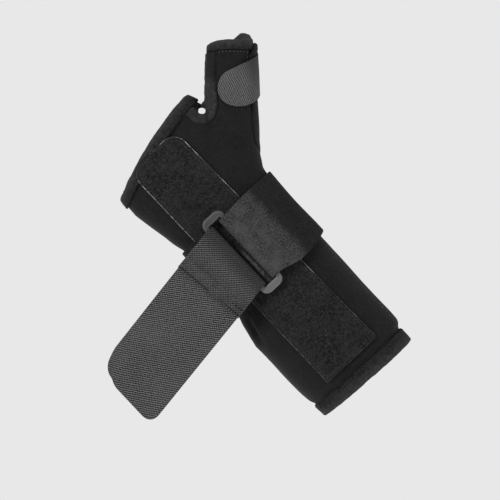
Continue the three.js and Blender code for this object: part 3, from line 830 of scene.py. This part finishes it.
def grey(tone, warmth=0.0):
    """A linear colour from a photographed grey tone of 0 to 255; warmth leans it to red."""
    value = tone / 255
    linear = value / 12.92 if value <= 0.04045 else ((value + 0.055) / 1.055) ** 2.4
    return (linear * (1 + warmth), linear, linear * (1 - warmth), 1.0)


def material(name, roughness, specular, sheen=0.0):
    made = bpy.data.materials.new(name)
    made.use_nodes = True
    shader = made.node_tree.nodes["Principled BSDF"]
    shader.inputs["Roughness"].default_value = roughness
    shader.inputs["Specular IOR Level"].default_value = specular
    shader.inputs["Sheen Weight"].default_value = sheen
    shader.inputs["Sheen Roughness"].default_value = 0.5
    return made, shader


def paint(shader, colour):
    """Gives a finish its colour, in place of the one that it had."""
    feed(shader.inputs["Base Color"], colour)


def roughen(shader, shade, share, roughness):
    """Makes a finish duller where the shade is high."""
    feed(shader.inputs["Roughness"], plus(times(shade, share), roughness))


def bump(shader, height, distance, strength):
    made = add(height.id_data, "ShaderNodeBump",
               {"Strength": strength, "Distance": distance * MM, "Height": height})
    feed(shader.inputs["Normal"], made.outputs["Normal"])


def place_on(shader, map_name="Object"):
    """Where a point of the piece lies, or with "UV" where it lies on the piece's own flat map."""
    return add(shader.id_data, "ShaderNodeTexCoord").outputs[map_name]


def group_on(shader, group, inputs):
    """The outputs of a shared effect that is placed in a finish with its own values."""
    return add(shader.id_data, "ShaderNodeGroup", inputs, node_tree=group).outputs


def nap_on(shader, fibres):
    return group_on(shader, NAP, {"Vector": place_on(shader), "Fibres per metre": fibres})


def nap_finish(name, dark, light, fibres, roughness, specular, sheen, relief, contrast=(0.38, 0.62)):
    """A brushed or looped finish on object coordinates."""
    made, shader = material(name, roughness, specular, sheen)
    nap = nap_on(shader, fibres)
    base = mixed(between(nap["Shade"], *contrast), dark, light)
    worn = between(nap["Patches"], 0.35, 0.7)
    shaded = mixed(times(worn, 0.35), base, light)
    paint(shader, shaded)
    roughen(shader, nap["Shade"], 0.15, roughness - 0.08)
    bump(shader, nap["Height"], relief, 0.8)
    return made, shader, shaded


def woven_finish(name, dark, light, warp, weft, turned, roughness, specular, sheen, relief,
                 contrast=(0.2, 0.62), map_name="UV"):
    """A woven or knitted tape on its own flat map, its threads turned by an angle."""
    made, shader = material(name, roughness, specular, sheen)
    turned_map = add(shader.id_data, "ShaderNodeMapping",
                     {"Vector": place_on(shader, map_name), "Rotation": (0, 0, math.radians(turned))})
    weave = group_on(shader, WEAVE, {"Vector": turned_map.outputs["Vector"],
                                     "Warp pitch": warp * MM, "Weft pitch": weft * MM})
    base = mixed(between(weave["Shade"], *contrast), dark, light)
    nap = nap_on(shader, 1100)
    soiled = between(nap["Patches"], 0.3, 0.72)
    shaded = mixed(times(soiled, 0.12), base, light)
    paint(shader, shaded)
    roughen(shader, nap["Shade"], 0.12, roughness - 0.06)
    bump(shader, weave["Height"], relief, 0.8)
    return made, shader, shaded


def moulded_finish():
    """Moulded grey plastic with a faint grain, with a painted highlight on its raised parts and painted light
    making its lower half paler.
    """
    made, shader = material("moulded grey plastic", 0.42, 0.35)
    place = place_on(shader)
    grain = grain_of(place, 2600, 3, 0.6)
    patches = grain_of(place, 90, 2, 0.5)
    raised = add(shader.id_data, "ShaderNodeNewGeometry").outputs["Pointiness"]
    # Painted light: the ring is made paler towards its lower half.
    lower = between(axes_of(place)["Z"], 130 * MM, 100 * MM)
    dull = mixed(between(patches, 0.3, 0.7), grey(60), grey(76))
    base = mixed(lower, dull, grey(104))
    # Painted highlight: the raised parts are mixed towards a pale grey.
    paint(shader, mixed(times(between(raised, 0.49, 0.56), 0.6), base, grey(132)))
    roughen(shader, grain, 0.2, 0.32)
    bump(shader, grain, 0.05, 0.4)
    return made


def thread_finish(name, tone):
    made, shader = material(name, 0.7, 0.2)
    twist = grain_of(place_on(shader), 3500, 2, 0.5)
    paint(shader, mixed(twist, grey(tone * 0.7), grey(tone * 1.3)))
    bump(shader, twist, 0.1, 0.6)
    return made


def cut_edge_finish():
    """The panel's cut edge: broken pale stretches of backing, more of them near the palm end,
    and none on the covered stretch of that end."""
    made, shader = material("cut edge of the loop panel", 0.75, 0.2)
    place = place_on(shader)
    across, _, height = axes_of(place)
    flecks = grain_of(place, 420, 3, 0.7)
    stretches = grain_of(place, 62, 2, 0.5)
    bare = times(between(stretches, 0.42, 0.66), between(flecks, 0.38, 0.6))
    high = between(height, 30 * MM, 190 * MM)
    shown = times(plus(bare, 0.1), plus(high, 0.2))
    palm_end = between(height, 200 * MM, 202 * MM)
    covered = times(palm_end, within(across, -15, -12, 4, 8))
    seen = between(covered, 1.15, 0.1)
    paint(shader, mixed(between(times(shown, seen), 0.0, 1.0), grey(38), grey(190)))
    bump(shader, flecks, 0.15, 0.6)
    return made


def loop_finish():
    """Loop pile, with a patchy paler strip of painted light where it shows in the ring's slot."""
    made, shader, shaded = nap_finish(
        "loop pile", grey(2), grey(60), fibres=1500, roughness=0.97, specular=0.05, sheen=0.06, relief=0.5,
        contrast=(0.43, 0.575))
    place = place_on(shader)
    across, _, height = axes_of(place)
    # Painted light: a patchy paler strip where the pile is lit inside the ring's slot.
    strip = times(within(across, -5.2, -4.4, -3.0, -2.2), within(height, 89, 95, 113, 121))
    patches = between(grain_of(place, 420, 3, 0.7), 0.36, 0.58)
    paint(shader, mixed(times(strip, patches), shaded, grey(104)))
    return made


def thumb_strap_finish():
    """Knitted strap tape, with painted shade where it turns round the thumb tube's outer side."""
    made, shader, shaded = woven_finish(
        "thumb strap tape", grey(8), grey(128), warp=1.0, weft=1.0, turned=48, roughness=0.8, specular=0.12,
        sheen=0.05, relief=0.2, contrast=(0.25, 0.56))
    # Painted shade: darker where the strap turns round the thumb tube's outer side.
    painted_shade_round_thumb = between(axes_of(place_on(shader))["X"], 75 * MM, 84 * MM)
    paint(shader, mixed(times(painted_shade_round_thumb, 0.75), shaded, grey(60)))
    return made


def band_back(bar_at, end):
    """The band's woven back on its return: painted shade where it turns over the ring's bar, crushed and
    soiled at its sewn end.
    """
    made, shader, shaded = woven_finish(
        "band back weave", grey(10), grey(114), warp=1.1, weft=1.15, turned=40, roughness=0.82, specular=0.1,
        sheen=0.05, relief=0.25, contrast=(0.27, 0.56))
    reach = axes_of(place_on(shader, "UV"))[0]
    # Painted shade: darker towards the ring's bar, where the return turns round it.
    painted_shade_at_bar = between(reach, (bar_at + 7) * MM, (bar_at - 1) * MM)
    sewn = between(reach, (end - 17) * MM, (end - 8) * MM)
    blots = grain_of(place_on(shader), 190, 4, 0.7)
    crushed = times(sewn, between(blots, 0.42, 0.62))
    shadowed = mixed(times(painted_shade_at_bar, 0.6), shaded, grey(38))
    paint(shader, mixed(times(crushed, 0.5), shadowed, grey(50)))
    return made


def binding_finish():
    """Ribbed edge tape, paler along the rim than at its sewn side."""
    made, shader, shaded = woven_finish(
        "binding tape", grey(24), grey(46), warp=0.9, weft=0.9, turned=0, roughness=0.88, specular=0.08,
        sheen=0.05, relief=0.1, map_name="Object")
    from_rim = add(shader.id_data, "ShaderNodeAttribute", attribute_name="from_rim").outputs["Fac"]
    mottle = grain_of(place_on(shader), 360, 4, 0.8)
    paler = between(plus(from_rim, times(mottle, 2.0)), 1.75, 1.05)
    paint(shader, mixed(times(paler, 0.85), shaded, grey(65)))
    return made


def band_velvet(cover_end):
    """The band's pile face: paler where it is doubled over the ring's bar, with patchy painted light next to
    the ring, dark beyond.
    """
    made, shader, shaded = nap_finish(
        "band velvet", grey(10), grey(49), fibres=1100, roughness=0.97, specular=0.05, sheen=0.06, relief=0.3)
    flat = place_on(shader, "UV")
    place = place_on(shader)
    reach = axes_of(flat)[0]
    ragged = plus(reach, times(grain_of(place, 260, 3, 0.6), 9.0 * MM))
    beyond = between(ragged, (cover_end + 1.0) * MM, (cover_end + 6.5) * MM)
    fibres = mixed(between(grain_of(flat, 900, 3, 0.7), 0.38, 0.62), grey(28), grey(84))
    # Painted light: the doubled part is made paler next to the ring's bar, in random patches.
    near_ring = between(reach, (cover_end - 4) * MM, (cover_end - 18) * MM)
    mottle_and_painted_light = times(between(grain_of(place, 130, 2, 0.5), 0.35, 0.7), plus(near_ring, 0.4))
    pale = mixed(times(mottle_and_painted_light, 0.5), fibres, grey(86))
    paint(shader, mixed(beyond, pale, shaded))
    return made


BRUSHED = nap_finish(
    "brushed sleeve cloth", grey(18), grey(41), fibres=1300, roughness=0.95, specular=0.08, sheen=0.1,
    relief=0.3)[0]
LOOP = loop_finish()
HOOK_BACK = woven_finish(
    "hook tape back", grey(10), grey(125), warp=1.15, weft=1.3, turned=32.7, roughness=0.78, specular=0.12,
    sheen=0.05, relief=0.35, contrast=(0.28, 0.56))[0]
BINDING = binding_finish()
TAB = thumb_strap_finish()
PLASTIC = moulded_finish()
THREAD = thread_finish("dull seam thread", 62)
# Dark thread; its rows at the band's sewn end also paint the shadow line along that end's edge.
DARK_THREAD_AND_SHADOW_LINE = thread_finish("dark seam thread and painted shadow", 18)
PALE_THREAD = thread_finish("grey seam thread", 74)
CUT_EDGE = cut_edge_finish()


# Stitches and loops by geometry nodes

def finish_instances(points, shape, turns, sizes, finish, result):
    tree = points.id_data
    place = add(tree, "GeometryNodeInstanceOnPoints",
                {"Points": points, "Instance": shape, "Rotation": turns, "Scale": sizes})
    real = add(tree, "GeometryNodeRealizeInstances", {0: place.outputs[0]})
    painted = add(tree, "GeometryNodeSetMaterial", {"Geometry": real.outputs[0], "Material": finish})
    feed(result["Geometry"], painted.outputs[0])


def stitch_tree(finish):
    tree, given, result = group_tree("stitch row, " + finish.name, "GeometryNodeTree",
                                     ["Geometry", "Pitch", "Stitch length", "Thread radius"], ["Geometry"])
    curve = add(tree, "GeometryNodeMeshToCurve", {"Mesh": given["Geometry"]})
    points = add(tree, "GeometryNodeCurveToPoints", {"Curve": curve.outputs[0], "Length": given["Pitch"]},
                 mode="LENGTH")
    thread = add(tree, "GeometryNodeMeshUVSphere", {"Segments": 6, "Rings": 5, "Radius": 1.0})
    radius = given["Thread radius"]
    half = times(given["Stitch length"], 0.5)
    size = add(tree, "ShaderNodeCombineXYZ", {"X": radius, "Y": radius, "Z": half})
    finish_instances(points.outputs["Points"], thread.outputs["Mesh"], points.outputs["Rotation"],
                     size.outputs[0], finish, result)
    return tree


def loop_tree(finish):
    tree, given, result = group_tree("pile loops", "GeometryNodeTree",
                                     ["Geometry", "Loops per square metre", "Loop radius"], ["Geometry"])
    scatter = add(tree, "GeometryNodeDistributePointsOnFaces",
                  {"Mesh": given["Geometry"], "Density": given["Loops per square metre"], "Seed": 7})
    loop = add(tree, "GeometryNodeMeshIcoSphere", {"Subdivisions": 1, "Radius": 1.0})
    least = times(given["Loop radius"], 0.55)
    most = times(given["Loop radius"], 1.35)
    vary = add(tree, "FunctionNodeRandomValue", {2: least, 3: most, "Seed": 11}, data_type="FLOAT")
    finish_instances(scatter.outputs["Points"], loop.outputs["Mesh"], scatter.outputs["Rotation"],
                     vary.outputs[1], finish, result)
    return tree


STITCHES = {finish.name: stitch_tree(finish) for finish in (THREAD, DARK_THREAD_AND_SHADOW_LINE, PALE_THREAD)}


def grown(piece, tree, values):
    """The piece turned into what the tree makes on it, with the tree's sizes set."""
    modifier = piece.modifiers.new("repeat", "NODES")
    modifier.node_group = tree
    for item in tree.interface.items_tree:
        if item.in_out == "INPUT" and item.name in values:
            modifier[item.identifier] = values[item.name]
    return applied(piece)


def settled(points, carrier, lift):
    """The points moved onto the carrier's surface, standing off it by the lift."""
    skin = skin_of(carrier)
    moved = []
    for point in points:
        place, normal, _, _ = skin.find_nearest(point * MM)
        moved.append((place + normal * lift * MM) / MM)
    return moved


def stitch_rows(name, slot, rows, finish, pitch, length, radius):
    """One piece of stitches; rows is a list of (points, closed, carrier)."""
    points = []
    edges = []
    for line, closed, carrier in rows:
        first = len(points)
        points += settled(line, carrier, radius * 0.35)
        edges += [(first + step, first + step + 1) for step in range(len(line) - 1)]
        if closed:
            edges.append((len(points) - 1, first))
    piece = piece_from(name, points, [], edges)
    tree = STITCHES[finish.name]
    grown(piece, tree, {"Pitch": pitch * MM, "Stitch length": length * MM, "Thread radius": radius * MM})
    shade_smooth(piece)
    keep(piece, slot)


def tube_along(name, line, radius, sides, finish):
    """A thin round bead along a line of points."""
    points = []
    faces = []
    last = len(line) - 1
    for index, point in enumerate(line):
        ahead = (line[min(index + 1, last)] - line[max(index - 1, 0)]).normalized()
        across = ahead.cross(Vector((0, 1, 0))).normalized()
        out = across.cross(ahead).normalized()
        for side in range(sides):
            turn = 2 * math.pi * side / sides
            points.append(point + across * radius * math.cos(turn) + out * radius * math.sin(turn))
    for here in range(0, last * sides, sides):
        for side in range(sides):
            nearby = (side + 1) % sides
            faces.append((here + side, here + nearby, here + sides + nearby, here + sides + side))
    faces.append(tuple(range(sides))[::-1])
    faces.append(tuple(range(last * sides, len(points))))
    piece = piece_from(name, points, faces)
    face_outwards(piece.data)
    shade_smooth(piece)
    dress(piece, finish)
    return piece


# Camera, light and ground

def camera_at_photo():
    """Level with the arm and square to the palm side, rolled as the photograph is."""
    view = bpy.data.cameras.new("photo view")
    view.sensor_width = 36.0
    view.lens = 220.0
    view.clip_start = 0.05
    camera = placed("photo view", view)
    right = Vector((0.727, 0, -0.686)).normalized()
    up = Vector((0.686, 0, 0.727)).normalized()
    back = right.cross(up)
    turn = Matrix((right, up, back)).transposed().to_4x4()
    camera.matrix_world = Matrix.Translation((0.0006, -2.01, 0.1144)) @ turn
    bpy.context.scene.camera = camera


def soft_light(name, place, size, power):
    lamp = bpy.data.lights.new(name, "AREA")
    lamp.shape = "DISK"
    lamp.size = size
    lamp.energy = power
    lit = placed(name, lamp)
    lit.location = place
    lit.rotation_euler = (Vector(SPLINT_MIDDLE) - Vector(place)).to_track_quat("-Z", "Y").to_euler()


def studio():
    """A pale room in which three soft lights and a weak all-round light fall on the splint."""
    scene = bpy.context.scene
    scene.view_settings.view_transform = "Standard"
    pale = grey(232)
    world = bpy.data.worlds.new("pale studio")
    scene.world = world
    world.use_nodes = True
    tree = world.node_tree
    tree.nodes.clear()
    seen = add(tree, "ShaderNodeBackground", {"Color": pale})
    lighting = add(tree, "ShaderNodeBackground", {"Color": (1, 1, 1, 1), "Strength": 0.3})
    camera_sees = add(tree, "ShaderNodeLightPath").outputs["Is Camera Ray"]
    choose = add(tree, "ShaderNodeMixShader", {0: camera_sees, 1: lighting.outputs[0], 2: seen.outputs[0]})
    add(tree, "ShaderNodeOutputWorld", {0: choose.outputs[0]})
    soft_light("window above the palm end", place=(-0.35, -0.95, 1.05), size=0.55, power=9.5)
    soft_light("fill from the thumb side", place=(1.0, -0.9, 0.2), size=0.9, power=1.6)
    soft_light("back light", place=(-0.4, 1.1, 0.7), size=0.8, power=2.5)
    half = 2200
    drop = -450
    corners = [Vector((x, y, drop)) for x, y in ((-half, -half), (half, -half), (half, half), (-half, half))]
    floor = piece_from("floor", corners, [(0, 1, 2, 3)])
    ground, shader = material("pale floor", 0.9, 0.0)
    shader.inputs["Base Color"].default_value = grey(80)
    shader.inputs["Emission Color"].default_value = pale
    shader.inputs["Emission Strength"].default_value = 0.95
    dress(floor, ground)
    floor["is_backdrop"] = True


# The splint's pieces

# Places across the wide webbing
ACROSS_WEBBING = across_strip([1, 0.985, 0.96, 0.92], 0.86, 34)


def keep(piece, slot, *nodes):
    """Attaches a finished piece to the root body and hides the CAD nodes that it stands for; the slot is not
    used.
    """
    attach(piece, "root")
    if nodes:
        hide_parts(*nodes)
    return piece


def ramp(values, start, length):
    """0 up to the start, rising to 1 over the length."""
    return np.clip((values - start) / length, 0, 1)


def along_thumb(places):
    """How far each point lies along the thumb tube's axis from the web."""
    return (places - np.array(WEB_POINT)) @ np.array(THUMB_AXIS)


def make_sleeve():
    """The padded wall, blown up a little between its bindings, band and panel."""
    sleeve = softened_copy("sleeve", "sleeve_padding", voxel=1.6, rounds=2)
    places, _ = places_of(sleeve)
    x, y, z = places.T
    near_cuff = ramp(z, CUFF_BINDING + 2, 10)
    near_band = ramp(np.abs(z - BAND_HEIGHT), BAND_WIDTH / 2 + 1, 8)
    palm_edge = SLEEVE_LENGTH - PALM_BINDING + PALM_EDGE_SLOPE * x
    near_palm = ramp(palm_edge - z, 1, 9)
    on_panel = (y < 0) & (np.abs(x) < PANEL_WIDTH / 2 + 1)
    from_panel = np.where(y < 0, ramp(np.abs(x), PANEL_WIDTH / 2 + 1, 6), 1)
    near_thumb = ramp(x, 36, 8)
    on_thumb = along_thumb(places) > -8
    free = near_cuff * near_band * near_palm * from_panel * (1 - near_thumb)
    free = np.where(on_panel | on_thumb, 0, free)
    plump(sleeve, 1 - free, pressure=6.0, cap=1.0, steps=10)
    places, normals = places_of(sleeve)
    moved = free * (0.35 + 0.55 * ripple(places, size=34, phase=0.4))
    moved -= press_creases(places, SLEEVE_CREASES) * np.clip(free * 3, 0, 1)
    outside = (normals * places * np.array((1, 1, 0))).sum(axis=1) > 0
    put_places(sleeve, places + normals * (moved * outside)[:, None])
    shade_smooth(sleeve)
    dress(sleeve, BRUSHED)
    keep(sleeve, "sleeve_cloth", "sleeve")
    return sleeve


def cuff_inset(places):
    return (places[:, 2] - CUFF_SLOPE * places[:, 0]) / CUFF_BINDING


def palm_inset(places):
    x = places[:, 0]
    rim = SLEEVE_LENGTH + PALM_EDGE_SLOPE * x + PALM_EDGE_BOW * (1 - (2 * x / FOREARM_BREADTH) ** 2)
    return (rim - places[:, 2]) / PALM_BINDING


def thumb_inset(places):
    return 0.7 * (THUMB_LENGTH - along_thumb(places)) / THUMB_BINDING


def web_inset(places):
    return lerp(0.35, 1.0, ramp(along_thumb(places), 12, 8))


def make_binding(node, name, carrier, inset, lip, fullness):
    """A folded edge tape, puckered by its stitching and thinned over the lip at its sewn side."""
    tape = softened_copy(node, name, voxel=0.5, rounds=14)
    places, normals = places_of(tape)
    rim = tape.data.attributes.new("from_rim", "FLOAT", "POINT")
    rim.data.foreach_set("value", np.clip(inset(places), 0, 1))
    puckers = (0.16 + 0.3 * fullness) * ripple(places, size=5.2, phase=1.3)
    swell = fullness + puckers + 0.2 * ripple(places, size=12.0, phase=0.2)
    put_places(tape, places + normals * swell[:, None])
    feather(tape, carrier, lip, left=0.2)
    seat(tape, carrier, reach=0.95, sink=0.2)
    shade_smooth(tape)
    dress(tape, BINDING)
    keep(tape, "binding_tape", node)
    return tape


def palm_place_at(x, z, lift):
    """The palm side's place at a height, where the leaning rows run uphill."""
    along = z
    for _ in range(4):
        along += z - palm_place(x, along, lift).z
    return palm_place(x, along, lift)


def panel_edge_line(inset, lift):
    """The outline of the loop panel on the palm side, drawn in by the inset."""
    half = PANEL_WIDTH / 2 - inset
    low = PANEL_START + inset
    high = PANEL_END - inset
    corner = PANEL_PALM_CORNER - inset
    right = half - PANEL_TAPER

    def rounded_corner(middle, start, end):
        return [(middle + corner * math.cos(turn), high - corner + corner * math.sin(turn))
                for turn in spread(start, end, 10)[1:]]

    flat = [(-half, z) for z in spread(low, high - corner, 120)]
    flat += rounded_corner(corner - half, math.pi, math.pi / 2)
    flat += [(x, high) for x in spread(corner - half, right - corner, 20)[1:]]
    flat += rounded_corner(right - corner, math.pi / 2, 0)
    flat += [(lerp(right, half, share), lerp(high - corner, low, share)) for share in spread(0, 1, 120)[1:]]
    flat += [(x, low) for x in spread(half, -half, 30)[1:]]
    return [palm_place_at(x, z, lift) for x, z in flat]


def make_panel():
    panel = softened_copy("palm_panel", "palm_panel_pile", voxel=0.62, rounds=2)
    places, normals = places_of(panel)
    pile = 0.07 * ripple(places, size=2.3, phase=0.9) + 0.05 * ripple(places, size=6.0, phase=2.2)
    put_places(panel, places + normals * pile[:, None])
    shade_smooth(panel)
    dress(panel, LOOP)
    keep(panel, "loop_pile", "palm_panel")
    return panel


def make_panel_loops(panel):
    """Loops scattered over the panel's face, grown on a sheet just inside its outline."""
    rows = []
    for z in spread(PANEL_START + 1.5, PANEL_END - 2.0, 90):
        taper = PANEL_TAPER * (z - PANEL_START) / (PANEL_END - PANEL_START)
        inset = 1.2
        corner = PANEL_PALM_CORNER
        into_corner = corner - (PANEL_END - z)
        if into_corner > 0:
            inset += corner - math.sqrt(corner ** 2 - into_corner ** 2)
        across = spread(-PANEL_WIDTH / 2 + inset, PANEL_WIDTH / 2 - taper - inset, 20)
        rows.append([palm_place_at(x, z, GAP + PANEL) for x in across])
    points = settled([p for row in rows for p in row], panel, 0.02)
    width = len(rows[0])
    faces = [(r * width + c, r * width + c + 1, (r + 1) * width + c + 1, (r + 1) * width + c)
             for r in range(len(rows) - 1) for c in range(width - 1)]
    loops = piece_from("panel_loops", points, faces)
    grown(loops, loop_tree(LOOP), {"Loops per square metre": 1.0e6, "Loop radius": 0.28 * MM})
    shade_smooth(loops)
    return keep(loops, "loop_pile")


def make_band():
    spines = [band_spine(side) for side in ACROSS_WEBBING]
    cover_ends, return_starts = spines[0][1:]
    lines = [spine[0] for spine in spines]
    band, reach = strip_piece("wrist_band_cloth", lines, BAND, edge_round=1.1, plan=True)
    velvet = band_velvet(reach[cover_ends])
    dress(band, velvet, band_back(reach[return_starts], reach[-1]), velvet)
    keep(band, "band_velvet", "wrist_band")
    return band


def make_end_tape():
    spines = [end_tape_spine(side) for side in ACROSS_WEBBING]
    tape, _ = strip_piece("hook_tape", spines, END_TAPE, edge_round=0.8, plan=True)
    dress(tape, HOOK_BACK, HOOK_BACK, HOOK_BACK)
    keep(tape, "hook_tape_back", "strap_end_tape")


def make_thumb_strap():
    rows = thumb_strap_grid(across_strip([1, 0.97, 0.93], 0.87, 24))
    strap, reach = strip_piece("thumb_tab", rows, THUMB_STRAP, edge_round=0.8, plan=False)
    dress(strap, TAB, TAB, TAB)
    keep(strap, "thumb_tape", "thumb_strap")


def make_pocket(carrier):
    """The stay pocket, thinned to its sewn sides and to its lower end."""
    pocket = softened_copy("thumb_stay_pocket", "stay_pocket", voxel=0.6, rounds=10)
    plump(pocket, np.zeros(len(pocket.data.vertices)), pressure=6.0, cap=0.35, steps=10)
    feather(pocket, carrier, width=2.0, left=0.2)
    sink_end(pocket, carrier, low=154, high=174)
    seat(pocket, carrier, reach=1.1, sink=0.25)
    shade_smooth(pocket)
    dress(pocket, BRUSHED)
    keep(pocket, "sleeve_cloth", "thumb_stay_pocket")


def make_ring():
    ring = softened_copy("ring_buckle", "ring_moulding", voxel=0.32, rounds=5)
    shade_smooth(ring)
    dress(ring, PLASTIC)
    keep(ring, "ring_plastic", "ring_buckle")


def rim_line(point, sides):
    return [point(2 * math.pi * side / sides) for side in range(sides)]


def return_point(x, offset):
    """A place on the outer face of the band's return."""
    return Vector((x - SEAM_SLANT * offset, RING_DEPTH - WRAP - BAND / 2, return_height(x, offset)))


def seam_line(x, low, high):
    """A row across the band's return, parallel to its seam."""
    return [return_point(x, offset) for offset in spread(low, high, 50)]


studio()
camera_at_photo()
sleeve = make_sleeve()
cuff_tape = make_binding("cuff_binding", "cuff_tape", sleeve, cuff_inset, lip=4.2, fullness=0.1)
palm_tape = make_binding(
    "palm_edge_binding", "palm_edge_tape", sleeve, palm_inset, lip=4.5, fullness=0.1)
make_binding(
    "thumb_end_binding", "thumb_end_tape", sleeve, thumb_inset, lip=3.0, fullness=0.15)
make_binding("thumb_web_binding", "thumb_web_tape", sleeve, web_inset, lip=2.4, fullness=0.75)
make_ring()
panel = make_panel()
panel_loops = make_panel_loops(panel)
panel_edge = tube_along(
    "panel_cut_edge", panel_edge_line(0.0, GAP + PANEL * 0.85), radius=0.19, sides=6, finish=CUT_EDGE)
keep(panel_edge, "loop_pile")
make_pocket(sleeve)
band = make_band()
make_end_tape()
make_thumb_strap()

# Stitch rows. The lift of a row only has to clear the cloth, because the row then settles on it.
over_tape = GAP + TAPE
clear = 1
cuff_row = rim_line(lambda turn: arm_point(turn, CUFF_BINDING - 1.6, over_tape), 240)
palm_row = rim_line(lambda turn: arm_point(turn, SLEEVE_LENGTH - PALM_BINDING + 1.4, over_tape), 240)
panel_row = panel_edge_line(2.2, GAP + PANEL)
stitch_rows("binding_stitches", "binding_tape",
            [(cuff_row, True, cuff_tape), (palm_row, True, palm_tape), (panel_row, True, panel)],
            THREAD, pitch=2.5, length=1.4, radius=0.24)

below_binding = THUMB_LENGTH - THUMB_BINDING
thumb_row = rim_line(lambda turn: thumb_point(turn, below_binding - 1.2, clear), 120)
beside_pocket = POCKET_WIDTH / THUMB_DEPTH + 0.08
pocket_row = [thumb_point(-beside_pocket, along, clear)
              for along in spread(below_binding - 2, THUMB_LENGTH / 2, 30)]
stitch_rows("thumb_stitches", "binding_tape", [(thumb_row, True, sleeve), (pocket_row, False, sleeve)],
            PALE_THREAD, pitch=2.5, length=1.5, radius=0.38)

below_band = BAND_HEIGHT - BAND_WIDTH / 2 - 1
side_row = [arm_point(SIDE_SEAM_TURN, along, clear) for along in spread(CUFF_BINDING + 4, below_band, 80)]
stitch_rows("side_seam_stitches", "sleeve_cloth", [(side_row, False, sleeve)],
            PALE_THREAD, pitch=3.4, length=1.3, radius=0.26)

half_seam = BAND_AT_RING / 2 - 2.5
near_row = SEAM_REACH + 1.6
far_row = SEAM_REACH + 9.0
box_rows = [seam_line(x, -half_seam, half_seam) for x in (near_row, far_row)]
for offset in (-half_seam, half_seam):
    box_rows.append([return_point(x, offset) for x in spread(near_row, far_row, 10)])
stitch_rows("band_stitches", "band_velvet", [(row, False, band) for row in box_rows],
            THREAD, pitch=2.3, length=1.7, radius=0.22)
# Dark rows at the band's sewn end. The first, along the end's edge, is also painted shadow standing in for
# the shade under that edge.
end_rows = [
    seam_line(SEAM_REACH + 0.9, 2, half_seam + 1),
    seam_line(SEAM_REACH + 1.4, -half_seam - 1, 9 - half_seam),
    seam_line(SEAM_REACH + 5.2, -half_seam - 1, 6 - half_seam),
]
stitch_rows("band_end_stitches_and_painted_shadow", "band_velvet", [(row, False, band) for row in end_rows],
            DARK_THREAD_AND_SHADOW_LINE, pitch=1.9, length=1.75, radius=0.34)

low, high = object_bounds()
{"cad": [list(corner) for corner in cad_box], "visual": [list(low), list(high)]}
